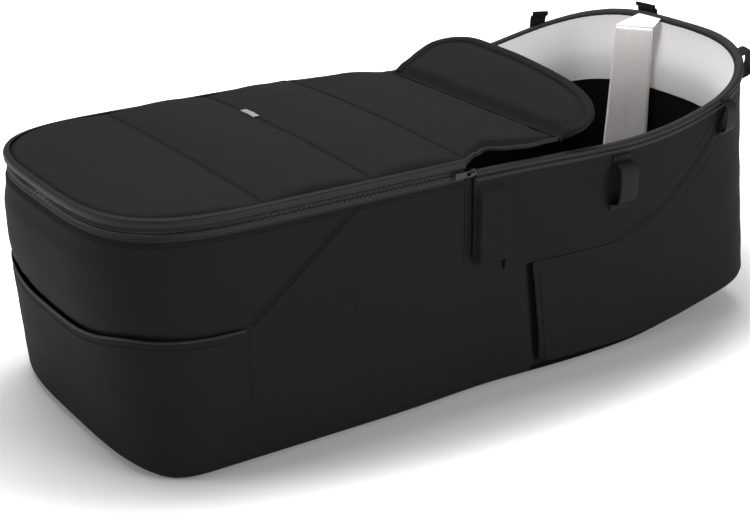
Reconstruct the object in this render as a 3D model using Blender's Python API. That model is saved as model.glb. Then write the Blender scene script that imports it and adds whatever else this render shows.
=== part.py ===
"""Soft carrycot: a fabric tub with a zip-on quilted apron, wind flap, pockets and frame loops.

Metres, +Z up. The foot end points to -X, the head end to +X, and the near side to -Y.
The tub stands on z = 0 and is centred on the origin.
"""

import math

import bmesh
import bpy
from mathutils import Vector

# Clearances and mesh working values
GAP = 0.0003
MERGE = 0.00001
OVERRUN = 0.002

# The tub: length and width are taken along the rim
LENGTH = 0.800
RIM_WIDTH = 0.3385
FOOT_RIM_HEIGHT = 0.2424
HEAD_RISE = 0.0588
RISE_LENGTH = 0.2625
RISE_POWER = 2.11
FOOT_LEAN = 0.017
HEAD_FLARE = 0.010
SIDE_LEAN = -0.004
RIM_FOOT_CORNER = 0.172
RIM_HEAD_CORNER = 0.148
BASE_FOOT_CORNER = 0.070
BASE_HEAD_CORNER = 0.090
RIM_FOOT_SQUARENESS = 3.6
BASE_FOOT_SQUARENESS = 3.3
HEAD_SQUARENESS = 2.9
QUARTER_LENGTH_share = 2.0

# Underside: flat up to the head part, whose floor rises towards the head end
LIFT_LENGTH = 0.192
HEAD_LIFT = 0.045
LIFT_FADE = 0.200

# Layers of the wall, from outside to inside
LAYER_GAP = 0.0008
FABRIC = 0.0018
FACE_INSET = 0.0013
POCKET_GAP = 0.0078
POCKET_BULGE = 0.002
BACK_CLOTH = 0.0015
FOAM = 0.0035
LINING = 0.0015
UPPER_LINING_HEIGHT = 0.077

# Floor
FLOOR_CLOTH = 0.0027
BOARD = 0.004
BOARD_CLEARANCE = 0.002
MATTRESS_THICKNESS = 0.030
MATTRESS_CROWN = 0.006
MATTRESS_CLEARANCE = 0.004
MATTRESS_SIDE_DRAW = 0.005

# Rim trim
BINDING = 0.0012
BINDING_LEG = 0.012
RIM_CLEARANCE = 0.0014
ZIP_STAND = 0.0080
TAPE = 0.0014
TAPE_INSET = 0.0008
COIL_RADIUS = 0.0010
COIL_PITCH = 0.0024
BAND_BOTTOM_RISE = 0.0040
BAND_HEIGHT = 0.0095
BAND = 0.0016
BAND_PROUD = 0.0006
APRON_TAPE = 0.0010
PIPING_RADIUS = 0.0014

# Apron, counted from the foot end of the rim
FIRST_CHANNEL = 0.1444
SECOND_CHANNEL = 0.1161
THIRD_CHANNEL = 0.1068
FREE_CHANNEL = 0.1200
QUILT_EDGE = 0.0075
QUILT_CROWN = 0.0045
QUILT_PUFF = 0.0045
FREE_EDGE_LIFT = 0.0030
FREE_EDGE_LENGTH = 0.030
QUILT_CLEARANCE = 0.0008

# Wind flap
FLAP_DEPTH = 0.090
FLAP_SIDE_INSET = -0.001
FLAP_THICKNESS = 0.004
FLAP_ARCH = 0.005
FLAP_SQUARENESS = 2.4
FLAP_AXIS_LIFT = 0.0006
FLAP_RAISE = math.radians(20)
FLAP_SIDE_TURN = math.radians(85)
FLAP_BINDING_RADIUS = 0.0021
FLAP_BINDING_CLEARANCE = 0.0006
FLAP_TURN_STEP = math.radians(1)

# Foot pocket: a slit whose lip stands off the foot panel
POCKET_END_FROM_FOOT = 0.120
MOUTH_CORNER_HEIGHT = 0.1395
MOUTH_MIDDLE_HEIGHT = 0.125
MOUTH_END_HEIGHT = 0.136
SEAM_TOP_FROM_FOOT = 0.256
FOOT_RECESS_FADE = 0.045
LIP_RADIUS = 0.0013

# Head half: hub flap, yoke, side pocket, all from the foot end of the rim
HUB_FROM_FOOT = 0.39625
HUB_FLAP_WIDTH = 0.0405
HUB_FLAP_HEIGHT = 0.084
HUB_FLAP_EDGE = 0.008
HUB_FLAP_STAND = 0.0072
HUB_FLAP_TOP_DROP = 0.013
YOKE_HEIGHT = 0.131
YOKE_FLAT_LENGTH = 0.1335
YOKE_END_FROM_HEAD = 0.0977
YOKE_END_DROP = 0.0311
YOKE_RISE_POWER = 1.9
YOKE_PROUD = 0.0008
YOKE_CLEARANCE = 0.0008
POCKET_FROM_HUB = 0.05645
POCKET_EDGE_SLANT = 0.017
SIDE_RECESS_FADE = 0.012
POCKET_COVER = 0.020

# Webbing loops
WEBBING = 0.0016
LOOP_WIDTH = 0.033
LOOP_CLEARANCE = 0.0006
LOOP_TAB_share = 0.14
SIDE_LOOP_FROM_HUB = 0.183
SIDE_LOOP_HEIGHT = 0.0595
SIDE_LOOP_BOTTOM = 0.170
SIDE_LOOP_BULGE = 0.011
CORNER_LOOP_FROM_HEAD = 0.084
CORNER_LOOP_HEIGHT = 0.042
CORNER_LOOP_BOTTOM = 0.223
CORNER_LOOP_BULGE = 0.013
HEAD_LOOP_OFFSET = 0.076
HEAD_LOOP_WIDTH = 0.030
HEAD_LOOP_HEIGHT = 0.034
HEAD_LOOP_DROP = 0.013
HEAD_LOOP_BULGE = 0.015
HEAD_LOOP_RISE = 0.018

# Zip slider and puller
SLIDER_LENGTH = 0.009
SLIDER_PLATE = 0.0011
SLIDER_HEIGHT = 0.0074
SLIDER_FROM_ZIP_END = 0.002
BRIDGE_WIDTH = 0.0028
BRIDGE_SPAN = 0.0076
BRIDGE_BAR = 0.0010
BRIDGE_GAP = 0.0026
PULLER = 0.0010
PULLER_LENGTH = 0.0205
PULLER_WIDTH = 0.0064
PULLER_ARM = 0.0014
PULLER_EYE = 0.0065

# Head stay
STAY_DISTANCE = 0.0365
STAY_OFFSET = 0.0385
STAY_TURN = math.radians(38)
STAY_TOP_DROP = 0.0125
STAY_TOP_WIDTH = 0.0445
STAY_BOTTOM_WIDTH = 0.056
STAY_THICKNESS = 0.006
STAY_FLOOR_CLEARANCE = 0.006
STAY_EDGE = 0.0018
HINGE_STRIP = 0.0012
STRIP_CLEARANCE = 0.0008

# Blank tag on the second apron seam
TAG_LENGTH = 0.027
TAG_WIDTH = 0.0072
TAG_THICKNESS = 0.0008
TAG_OFFSET = 0.064
TAG_CLEARANCE = 0.0006

# Values worked out from the sizes above
FOOT_X = -LENGTH / 2
HEAD_X = LENGTH / 2
HEAD_RIM_HEIGHT = FOOT_RIM_HEIGHT + HEAD_RISE
RECESS = FABRIC + POCKET_GAP - POCKET_BULGE
PANEL_BACK = RECESS + BACK_CLOTH
FOAM_INSET = PANEL_BACK + LAYER_GAP
LINING_INSET = FOAM_INSET + FOAM + LAYER_GAP
WALL = LINING_INSET + LINING
WALL_BOTTOM = FLOOR_CLOTH + GAP
BOARD_TOP = WALL_BOTTOM + BOARD
MATTRESS_BOTTOM = BOARD_TOP + GAP
SEAM_ONE = FOOT_X + FIRST_CHANNEL
SEAM_TWO = SEAM_ONE + SECOND_CHANNEL
SEAM_THREE = SEAM_TWO + THIRD_CHANNEL
FOLD = SEAM_THREE + FREE_CHANNEL
ZIP_END = SEAM_THREE - SLIDER_FROM_ZIP_END
SLIDER_X = ZIP_END + SLIDER_FROM_ZIP_END + SLIDER_LENGTH / 2
BINDING_START = SLIDER_X + SLIDER_LENGTH / 2 + SLIDER_FROM_ZIP_END
HUB_X = FOOT_X + HUB_FROM_FOOT
POCKET_END = FOOT_X + POCKET_END_FROM_FOOT
SEAM_TOP = FOOT_X + SEAM_TOP_FROM_FOOT
YOKE_START = HUB_X + HUB_FLAP_WIDTH / 2 + GAP
YOKE_END = HEAD_X - YOKE_END_FROM_HEAD
YOKE_RISE_LENGTH = YOKE_END - YOKE_START - YOKE_FLAT_LENGTH
LIFT_START = HEAD_X - LIFT_LENGTH
SIDE_POCKET_START = HUB_X + POCKET_FROM_HUB
ZIP_LINE = FOOT_RIM_HEIGHT
BAND_BOTTOM = ZIP_LINE + BAND_BOTTOM_RISE
BAND_TOP = BAND_BOTTOM + BAND_HEIGHT
QUILT_INSET = BAND - BAND_PROUD + APRON_TAPE + QUILT_CLEARANCE
QUILT_SIDE_TOP = BAND_TOP - GAP
QUILT_FLOOR = QUILT_SIDE_TOP - QUILT_EDGE
FLAP_AXIS_Z = QUILT_SIDE_TOP + QUILT_CROWN + FLAP_AXIS_LIFT
FLAP_HALF_WIDTH = RIM_WIDTH / 2 - FLAP_SIDE_INSET
COIL_OUT = COIL_RADIUS - TAPE_INSET + GAP
SLIDER_PLATE_INSET = -(COIL_OUT + COIL_RADIUS + GAP)
STAY_TOP = HEAD_RIM_HEIGHT - STAY_TOP_DROP
STAY_BOTTOM = MATTRESS_BOTTOM + MATTRESS_THICKNESS + MATTRESS_CROWN + STAY_FLOOR_CLEARANCE

# Face counts
END_COLUMNS = 32
SIDE_COLUMNS = 16
SIDE_STOP_SHARES = (0.0, 0.1875, 0.25, 0.375, 0.5, 0.75, 1.0)
WALL_ROWS = 5
FOAM_ROWS = 5
LINING_ROWS = 3
RING_COLUMNS = 64
QUILT_ROWS = 10
CORD_POINTS = 40
TRIM_COLUMNS = 40
CREST_STEPS = 5


def mix(low, high, share):
    """Return the value that lies this share of the way from low to high."""
    return low + (high - low) * share


def ease(share):
    """Return a smooth step for a share, held between 0 and 1."""
    share = min(max(share, 0.0), 1.0)
    return share * share * (3.0 - 2.0 * share)


def rim_height(x):
    """Return the rim's height, which climbs towards the head end."""
    share = min(max((x - HEAD_X + RISE_LENGTH) / RISE_LENGTH, 0.0), 1.0)
    return FOOT_RIM_HEIGHT + HEAD_RISE * share ** RISE_POWER


def wall_top(x):
    """Return where the wall layers stop: under the zip, or under the binding."""
    under_zip = FOOT_RIM_HEIGHT - ZIP_STAND
    under_binding = rim_height(x) - BINDING - RIM_CLEARANCE
    return mix(under_zip, under_binding, ease((x - ZIP_END) / (BINDING_START - ZIP_END)))


def lift(x, z):
    """Return how far a place rises with the head part's floor; the rise fades with height."""
    share = max(x - LIFT_START, 0.0) / LIFT_LENGTH
    return HEAD_LIFT * share * max(1.0 - z / LIFT_FADE, 0.0)


def section(z, inset):
    """Return the plan outline's end places, half width and corner depths at a height."""
    up_foot = min(z / FOOT_RIM_HEIGHT, 1.0)
    up_head = min(z / HEAD_RIM_HEIGHT, 1.0)
    foot = FOOT_X + FOOT_LEAN * (1.0 - up_foot) + inset
    head = HEAD_X + HEAD_FLARE * (1.0 - up_head) - inset
    half = RIM_WIDTH / 2 - SIDE_LEAN * (1.0 - z / FOOT_RIM_HEIGHT) - inset
    foot_corner = mix(BASE_FOOT_CORNER, RIM_FOOT_CORNER, up_foot) - inset
    head_corner = mix(BASE_HEAD_CORNER, RIM_HEAD_CORNER, up_head) - inset
    power = mix(BASE_FOOT_SQUARENESS, RIM_FOOT_SQUARENESS, up_foot)
    return foot, head, half, foot_corner, head_corner, power


def end_point(share, z, inset, stop, at_head):
    """Return a plan point between x = stop on the near side (0) and the middle of an end (1)."""
    foot, head, half, foot_corner, head_corner, power = section(z, inset)
    tip, corner, side = (head, head_corner, 1.0) if at_head else (foot, foot_corner, -1.0)
    power = HEAD_SQUARENESS if at_head else power
    start = tip - side * corner
    straight = max(side * (start - stop), 0.0)
    curved = QUARTER_LENGTH_share * (corner + half)
    bend = straight / (straight + curved)
    if share < bend:
        return Vector((stop + side * straight * share / bend, -half))
    first = math.asin(min(max(side * (stop - start) / corner, 0.0), 1.0) ** (power / 2))
    turn = mix(first, math.pi / 2, (share - bend) / (1.0 - bend))
    across = max(math.cos(turn), 0.0) ** (2 / power)
    return Vector((start + side * corner * math.sin(turn) ** (2 / power), -half * across))


def wrap_point(a, z, inset, stop, at_head):
    """Return a plan point on a wrap from the near side (0) round an end to the far side (1)."""
    point = end_point(1.0 - abs(2.0 * a - 1.0), z, inset, stop, at_head)
    return point if a < 0.5 else Vector((point.x, -point.y))


def ring_point(a, z, inset):
    """Return a plan point on the whole outline, from the foot along the near side and back."""
    half_turn = 1.0 - abs(2.0 * a - 1.0)
    at_head = half_turn > 0.5
    point = end_point(abs(2.0 * half_turn - 1.0), z, inset, 0.0, at_head)
    return point if a < 0.5 else Vector((point.x, -point.y))


def side_y(x, z, inset):
    """Return the near side's y at a place along the tub, corners included."""
    foot, head, half, foot_corner, head_corner, power = section(z, inset)
    into_foot = (foot + foot_corner - x) / foot_corner
    into_head = (x - head + head_corner) / head_corner
    if into_foot > 0.0:
        return -half * (1.0 - min(into_foot, 1.0) ** power) ** (1 / power)
    if into_head > 0.0:
        return -half * (1.0 - min(into_head, 1.0) ** HEAD_SQUARENESS) ** (1 / HEAD_SQUARENESS)
    return -half


def head_x(y, z, inset):
    """Return the head end's x at a place across the tub."""
    foot, head, half, foot_corner, head_corner, power = section(z, inset)
    share = (1.0 - min(abs(y) / half, 1.0) ** HEAD_SQUARENESS) ** (1 / HEAD_SQUARENESS)
    return head - head_corner + head_corner * share


def crest(x_at, height):
    """Return where an upright line, whose x depends on its height, meets a height line."""
    z = HEAD_RIM_HEIGHT
    for step in range(CREST_STEPS):
        z = height(x_at(z))
    return z


def seam_x(z):
    """Return where the foot panel ends: a plumb line below the pocket's end, then a slant."""
    climb = max(z - MOUTH_END_HEIGHT, 0.0) / (FOOT_RIM_HEIGHT - MOUTH_END_HEIGHT)
    return mix(POCKET_END, SEAM_TOP, min(climb, 1.0))


def mouth_height(share):
    """Return the foot pocket's lip height, from its side end (0) to the foot's middle (1)."""
    low = MOUTH_END_HEIGHT if share < 0.5 else MOUTH_MIDDLE_HEIGHT
    return mix(low, MOUTH_CORNER_HEIGHT, math.sin(math.pi * share) ** 2)


def yoke_edge(x):
    """Return the height of the yoke's lower edge, which climbs to the rim at the head corner."""
    climb = max(x - YOKE_START - YOKE_FLAT_LENGTH, 0.0) / YOKE_RISE_LENGTH
    top = rim_height(YOKE_END) - YOKE_END_DROP
    return mix(YOKE_HEIGHT, top, min(climb, 1.0) ** YOKE_RISE_POWER)


def quilt_top(x, across):
    """Return the apron's upper surface, puffed between its seams and crowned across."""
    stops = (FOOT_X, SEAM_ONE, SEAM_TWO, SEAM_THREE, FOLD)
    puff = 0.0
    for start, end in zip(stops, stops[1:]):
        if start <= x <= end:
            puff = math.sin(math.pi * (x - start) / (end - start)) ** 0.6
    crown = 1.0 - min(abs(across), 1.0) ** 2.6
    fade = 1.0 - min(abs(across), 1.0) ** 8
    return QUILT_SIDE_TOP + QUILT_CROWN * crown + QUILT_PUFF * puff * fade


def material(name, colour, roughness, metallic):
    """Return a Principled BSDF material."""
    made = bpy.data.materials.new(name)
    made.use_nodes = True
    shader = made.node_tree.nodes["Principled BSDF"]
    shader.inputs["Base Color"].default_value = (*colour, 1.0)
    shader.inputs["Roughness"].default_value = roughness
    shader.inputs["Metallic"].default_value = metallic
    return made


def finish(name, bm, finish_material, joint=None, smooth=True):
    """Turn a bmesh into a named object, hung on its joint's empty when it has one."""
    for vert in bm.verts:
        vert.co.z += lift(vert.co.x, vert.co.z)
    bm.normal_update()
    bmesh.ops.recalc_face_normals(bm, faces=bm.faces)
    mesh = bpy.data.meshes.new(name)
    if joint is not None:
        bmesh.ops.translate(bm, verts=bm.verts, vec=-joint.matrix_world.translation)
    bm.to_mesh(mesh)
    bm.free()
    if smooth:
        mesh.shade_smooth()
        mesh.set_sharp_from_angle(angle=math.radians(40))
    made = bpy.data.objects.new(name, mesh)
    made.data.materials.append(finish_material)
    made.parent = joint
    bpy.context.collection.objects.link(made)
    return made


def slab(columns, rows, place):
    """Return a bmesh: a unit slab of one cell depth, each corner moved to place(a, b, c)."""
    bm = bmesh.new()
    grid = bmesh.ops.create_grid(bm, x_segments=columns, y_segments=rows, size=0.5)
    bmesh.ops.translate(bm, verts=grid["verts"], vec=(0.5, 0.5, 0.0))
    raised = bmesh.ops.extrude_face_region(bm, geom=bm.faces[:])
    top = [item for item in raised["geom"] if isinstance(item, bmesh.types.BMVert)]
    bmesh.ops.translate(bm, verts=top, vec=(0.0, 0.0, 1.0))
    for vert in bm.verts:
        vert.co = place(vert.co.x, vert.co.y, vert.co.z)
    bmesh.ops.triangulate(bm, faces=bm.faces)
    return bm


def ring_slab(columns, rows, place):
    """Return a bmesh: a slab bent into a closed ring, whose first and last columns are one."""
    bm = bmesh.new()
    grid = bmesh.ops.create_grid(bm, x_segments=columns, y_segments=rows, size=0.5)
    bmesh.ops.translate(bm, verts=grid["verts"], vec=(0.5, 0.5, 0.0))
    raised = bmesh.ops.extrude_face_region(bm, geom=bm.faces[:])
    top = [item for item in raised["geom"] if isinstance(item, bmesh.types.BMVert)]
    bmesh.ops.translate(bm, verts=top, vec=(0.0, 0.0, 1.0))
    ends = [face for face in bm.faces if len({round(v.co.x, 4) for v in face.verts}) == 1]
    bmesh.ops.delete(bm, geom=ends, context="FACES_ONLY")
    for vert in bm.verts:
        vert.co = place(vert.co.x, vert.co.y, vert.co.z)
    bmesh.ops.remove_doubles(bm, verts=bm.verts, dist=MERGE)
    bmesh.ops.triangulate(bm, faces=bm.faces)
    return bm


def fold_line(bm):
    """Cut a wide flat piece across where the head part's floor starts to rise."""
    parts = bm.verts[:] + bm.edges[:] + bm.faces[:]
    start = (LIFT_START, 0.0, 0.0)
    bmesh.ops.bisect_plane(bm, geom=parts, plane_co=start, plane_no=(1.0, 0.0, 0.0))


def plate(outline, low, high):
    """Return a bmesh: an outline filled, drawn up from low to high and cut at the fold."""
    bm = bmesh.new()
    corners = [bm.verts.new((point.x, point.y, low)) for point in outline]
    face = bm.faces.new(corners)
    raised = bmesh.ops.extrude_face_region(bm, geom=[face])
    top = [item for item in raised["geom"] if isinstance(item, bmesh.types.BMVert)]
    bmesh.ops.translate(bm, verts=top, vec=(0.0, 0.0, high - low))
    fold_line(bm)
    return bm


def box(low, high):
    """Return a bmesh box between two corners."""
    bm = bmesh.new()
    made = bmesh.ops.create_cube(bm, size=1.0)
    size = Vector(high) - Vector(low)
    bmesh.ops.scale(bm, verts=made["verts"], vec=size)
    bmesh.ops.translate(bm, verts=made["verts"], vec=(Vector(low) + Vector(high)) / 2)
    return bm


def cord(name, points, radius, finish_material, joint=None, sides=0):
    """Return a round cord through points, as a curve with filled ends."""
    curve = bpy.data.curves.new(name, "CURVE")
    curve.dimensions = "3D"
    curve.bevel_depth = radius
    curve.bevel_resolution = sides
    curve.use_fill_caps = True
    spline = curve.splines.new("POLY")
    spline.points.add(len(points) - 1)
    origin = joint.matrix_world.translation if joint is not None else Vector()
    for item, point in zip(spline.points, points):
        item.co = (*(point - origin), 1.0)
    made = bpy.data.objects.new(name, curve)
    made.data.materials.append(finish_material)
    made.parent = joint
    bpy.context.collection.objects.link(made)
    return made


def joint_empty(name, place):
    """Return an empty that stands on a joint's axis."""
    made = bpy.data.objects.new(name, None)
    made.location = place
    bpy.context.collection.objects.link(made)
    bpy.context.view_layer.update()
    return made


def join_with(made, tool_bm, operation):
    """Unite a piece with a tool mesh, or cut it, through an exact Boolean modifier."""
    mesh = bpy.data.meshes.new(made.name + "_tool")
    tool_bm.normal_update()
    bmesh.ops.recalc_face_normals(tool_bm, faces=tool_bm.faces)
    if made.parent is not None:
        bmesh.ops.translate(tool_bm, verts=tool_bm.verts, vec=-made.parent.location)
    tool_bm.to_mesh(mesh)
    tool_bm.free()
    tool = bpy.data.objects.new(made.name + "_tool", mesh)
    tool.hide_render = True
    tool.display_type = "WIRE"
    tool.parent = made.parent
    bpy.context.collection.objects.link(tool)
    modifier = made.modifiers.new(operation.title(), "BOOLEAN")
    modifier.operation = operation
    modifier.object = tool


def mirrored(side):
    """Return the y sign of a side: the near side is as modelled, the far side is its mirror."""
    return 1.0 if side == "near" else -1.0


def wall_wrap(name, rows, at_head, stop, outer, inner, finish_material):
    """Make a wall layer round one end; stop and outer may depend on the place."""
    def place(a, b, c):
        share = 1.0 - abs(2.0 * a - 1.0)
        at_top = mix(outer(1.0, HEAD_RIM_HEIGHT), inner, c)
        top = crest(lambda z: wrap_point(a, z, at_top, stop(z), at_head).x, wall_top)
        z = mix(WALL_BOTTOM, top, b)
        inset = mix(outer(share, z), inner, c)
        point = wrap_point(a, z, inset, stop(z), at_head)
        return point.x, point.y, z
    return finish(name, slab(END_COLUMNS, rows, place), finish_material)


def side_place(a, z, start, end):
    """Return an x from start to end, with columns where the wall's top or face changes."""
    edge = pocket_edge(z)
    corner = HEAD_X - RIM_HEAD_CORNER
    stops = (start, ZIP_END, BINDING_START, edge - SIDE_RECESS_FADE, edge, corner, end)
    for index, share in enumerate(SIDE_STOP_SHARES[1:]):
        low = SIDE_STOP_SHARES[index]
        if a <= share:
            return mix(stops[index], stops[index + 1], (a - low) / (share - low))
    return end


def wall_side(name, rows, side, start, end, outer, inner, finish_material):
    """Make a straight wall layer on one side, from start(z) to end."""
    def place(a, b, c):
        top = wall_top(side_place(a, FOOT_RIM_HEIGHT, start(FOOT_RIM_HEIGHT), end))
        z = mix(WALL_BOTTOM, top, b)
        x = side_place(a, z, start(z), end)
        return x, mirrored(side) * side_y(x, z, mix(outer(x, z), inner, c)), z
    return finish(name, slab(SIDE_COLUMNS, rows, place), finish_material)


def foot_recess(share, z):
    """Return how far the foot panel lies in: deep behind the pocket, flush below the zip."""
    above = (z - mouth_height(share) - POCKET_COVER) / FOOT_RECESS_FADE
    return mix(RECESS, FACE_INSET, ease(above))


def pocket_edge(z):
    """Return the x of the side pocket's open edge, which slants towards the floor."""
    return SIDE_POCKET_START + POCKET_EDGE_SLANT * max(1.0 - z / YOKE_HEIGHT, 0.0)


def side_recess(x, z):
    """Return how far the side panel lies in: deep behind the side pocket, flush elsewhere."""
    along = ease((x - pocket_edge(z) + SIDE_RECESS_FADE) / SIDE_RECESS_FADE)
    above = ease((z - yoke_edge(x) - POCKET_COVER) / POCKET_COVER)
    return mix(FACE_INSET, RECESS, along * (1.0 - above))


def make_floor(fabric, board):
    """Make the floor cloth that the tub stands on, and the stiff board that lies on it."""
    outline = [ring_point(step / RING_COLUMNS, 0.0, 0.0) for step in range(RING_COLUMNS)]
    finish("floor_cloth", plate(outline, 0.0, FLOOR_CLOTH), fabric, smooth=False)
    inset = WALL + BOARD_CLEARANCE
    outline = [ring_point(step / RING_COLUMNS, 0.0, inset) for step in range(RING_COLUMNS)]
    finish("base_board", plate(outline, WALL_BOTTOM, BOARD_TOP), board, smooth=False)


def make_mattress(cloth):
    """Make the mattress: crowned on top, with sides that draw in between top and bottom."""
    crown_shares = ((0.5, 0.85), (0.8, 0.6), (0.93, 0.3), (1.0, 0.0))
    half = MATTRESS_BOTTOM + MATTRESS_THICKNESS / 2
    top = MATTRESS_BOTTOM + MATTRESS_THICKNESS
    levels = [(reach, top + MATTRESS_CROWN * rise, 0.0) for reach, rise in crown_shares]
    levels.append((1.0, half, MATTRESS_SIDE_DRAW))
    levels.append((1.0, MATTRESS_BOTTOM, 0.0))
    bm = bmesh.new()
    loops = []
    for reach, z, draw in levels:
        inset = WALL + MATTRESS_CLEARANCE + draw
        loop = []
        for step in range(RING_COLUMNS):
            point = ring_point(step / RING_COLUMNS, z, inset) * reach
            loop.append(bm.verts.new((point.x, point.y, z)))
        edges = [bm.edges.new((loop[i], loop[(i + 1) % RING_COLUMNS])) for i in range(RING_COLUMNS)]
        if loops:
            bmesh.ops.bridge_loops(bm, edges=loops[-1] + edges)
        loops.append(edges)
    bm.faces.new([edge.verts[0] for edge in loops[-1]])
    crown = bm.faces.new([edge.verts[0] for edge in loops[0]])
    bmesh.ops.poke(bm, faces=[crown])
    for vert in bm.verts:
        if Vector((vert.co.x, vert.co.y)).length < MATTRESS_CLEARANCE:
            vert.co.z = top + MATTRESS_CROWN
    fold_line(bm)
    finish("mattress", bm, cloth)


def make_walls(fabric, foam):
    """Make the outer panels and the foam boards behind them, at both ends and both sides."""
    def foot_stop(z):
        return seam_x(z) - GAP

    def head_stop(z):
        return YOKE_END + GAP

    def flat(value):
        return lambda *place: value

    rows = WALL_ROWS
    face = flat(FACE_INSET)
    wall_wrap("foot_panel", rows, False, foot_stop, foot_recess, PANEL_BACK, fabric)
    wall_wrap("head_panel", rows, True, head_stop, face, PANEL_BACK, fabric)
    for side in ("near", "far"):
        name = side + "_side_panel"
        wall_side(name, rows, side, seam_x, YOKE_END, side_recess, PANEL_BACK, fabric)
    rows = FOAM_ROWS
    face = flat(FOAM_INSET)
    back = FOAM_INSET + FOAM
    wall_wrap("foot_foam", rows, False, foot_stop, face, back, foam)
    wall_wrap("head_foam", rows, True, head_stop, face, back, foam)
    for side in ("near", "far"):
        wall_side(side + "_side_foam", rows, side, seam_x, YOKE_END, face, back, foam)


def make_linings(pale, dark):
    """Make the pale lining band below the rim and the dark lining under it."""
    def top(a, inset):
        return crest(lambda z: ring_point(a, z, inset).x, wall_top)

    def upper(a, b, c):
        inset = LINING_INSET + LINING * c
        z = top(a, inset) - UPPER_LINING_HEIGHT * (1.0 - b)
        point = ring_point(a, z, inset)
        return point.x, point.y, z

    def lower(a, b, c):
        inset = LINING_INSET + LINING * c
        z = mix(WALL_BOTTOM, top(a, inset) - UPPER_LINING_HEIGHT - GAP, b)
        point = ring_point(a, z, inset)
        return point.x, point.y, z

    finish("upper_lining", ring_slab(RING_COLUMNS, 2, upper), pale)
    finish("lower_lining", ring_slab(RING_COLUMNS, LINING_ROWS, lower), dark)


def make_foot_pocket(fabric, trim):
    """Make the foot pocket's front, open along its lip, and the cord sewn into the lip."""
    def stand(share):
        return POCKET_BULGE * ease(share / 0.5)

    def place(a, b, c):
        share = 1.0 - abs(2.0 * a - 1.0)
        z = mix(WALL_BOTTOM, mouth_height(share), b)
        outer = FACE_INSET * (1.0 - ease(share / 0.5)) - stand(share)
        point = wrap_point(a, z, outer + FABRIC * c, POCKET_END - GAP, False)
        return point.x, point.y, z

    finish("foot_pocket", slab(END_COLUMNS, 3, place), fabric)
    points = []
    for step in range(END_COLUMNS + 1):
        a = step / END_COLUMNS
        share = 1.0 - abs(2.0 * a - 1.0)
        z = mouth_height(share) + LIP_RADIUS + GAP
        middle = FACE_INSET * (1.0 - ease(share / 0.5)) - stand(share) + FABRIC / 2
        point = wrap_point(a, z, middle, POCKET_END - GAP, False)
        points.append(Vector((point.x, point.y, z)))
    cord("foot_pocket_lip", points, LIP_RADIUS, trim)


def make_side_pocket(side, fabric):
    """Make a side pocket's front: open at its edge towards the hub, sewn under the yoke."""
    def place(a, b, c):
        low = WALL_BOTTOM
        x_top = mix(SIDE_POCKET_START, YOKE_END - GAP, a)
        z = mix(low, yoke_edge(x_top) - YOKE_CLEARANCE, b)
        x = x_top + (pocket_edge(z) - SIDE_POCKET_START) * (1.0 - a)
        swell = ease((1.0 - a) * 6.0) * ease(b * 4.0 + 0.2) * ease((1.0 - b) * 4.0 + 0.2)
        outer = mix(0.0, -POCKET_BULGE, swell)
        return x, mirrored(side) * side_y(x, z, outer + FABRIC * c), z
    finish(side + "_side_pocket", slab(SIDE_COLUMNS, 4, place), fabric)


def make_yoke(side, fabric):
    """Make the upper panel that covers the side from the hub flap to the head corner."""
    def place(a, b, c):
        x = mix(YOKE_START, YOKE_END, a)
        z = mix(yoke_edge(x), rim_height(x) - BINDING_LEG - GAP, b)
        inset = mix(-YOKE_PROUD, FACE_INSET - GAP, c)
        return x, mirrored(side) * side_y(x, z, inset), z
    finish(side + "_yoke", slab(SIDE_COLUMNS, 2, place), fabric)


def make_hub_flap(side, fabric):
    """Make the sewn flap over the frame's hub: shut at its sides and top, open at its foot."""
    top = FOOT_RIM_HEIGHT - HUB_FLAP_TOP_DROP

    def place(a, b, c):
        z = mix(top - HUB_FLAP_HEIGHT, top, b)
        x = HUB_X + HUB_FLAP_WIDTH * (a - 0.5)
        edge = min(a, 1.0 - a) * HUB_FLAP_WIDTH / HUB_FLAP_EDGE
        roof = (1.0 - b) * HUB_FLAP_HEIGHT / HUB_FLAP_EDGE
        stand = HUB_FLAP_STAND * ease(edge) * ease(roof)
        inner = FACE_INSET - GAP - stand
        return x, mirrored(side) * side_y(x, z, inner - FABRIC * c), z
    finish(side + "_hub_flap", slab(8, 5, place), fabric)


def make_binding(trim):
    """Make the binding that folds over the rim, from one slider round the head to the other."""
    outside = -(YOKE_PROUD + GAP)
    inside = WALL + LAYER_GAP

    def place(a, b, c):
        cover = BINDING * (1.0 - c)
        inset = outside - cover if b < 0.5 else inside + cover
        top = crest(lambda z: wrap_point(a, z, inset, BINDING_START, True).x, rim_height)
        z = top - BINDING + cover if 0.3 < b < 0.7 else top - BINDING_LEG
        point = wrap_point(a, z, inset, BINDING_START, True)
        return point.x, point.y, z

    finish("rim_binding", slab(TRIM_COLUMNS, 3, place), trim)


def around_foot(a, z, inset, stop):
    """Return a point of the foot's outline in space; it stands plumb above the zip."""
    point = wrap_point(a, min(z, ZIP_LINE), inset, stop, False)
    return Vector((point.x, point.y, z))


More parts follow.
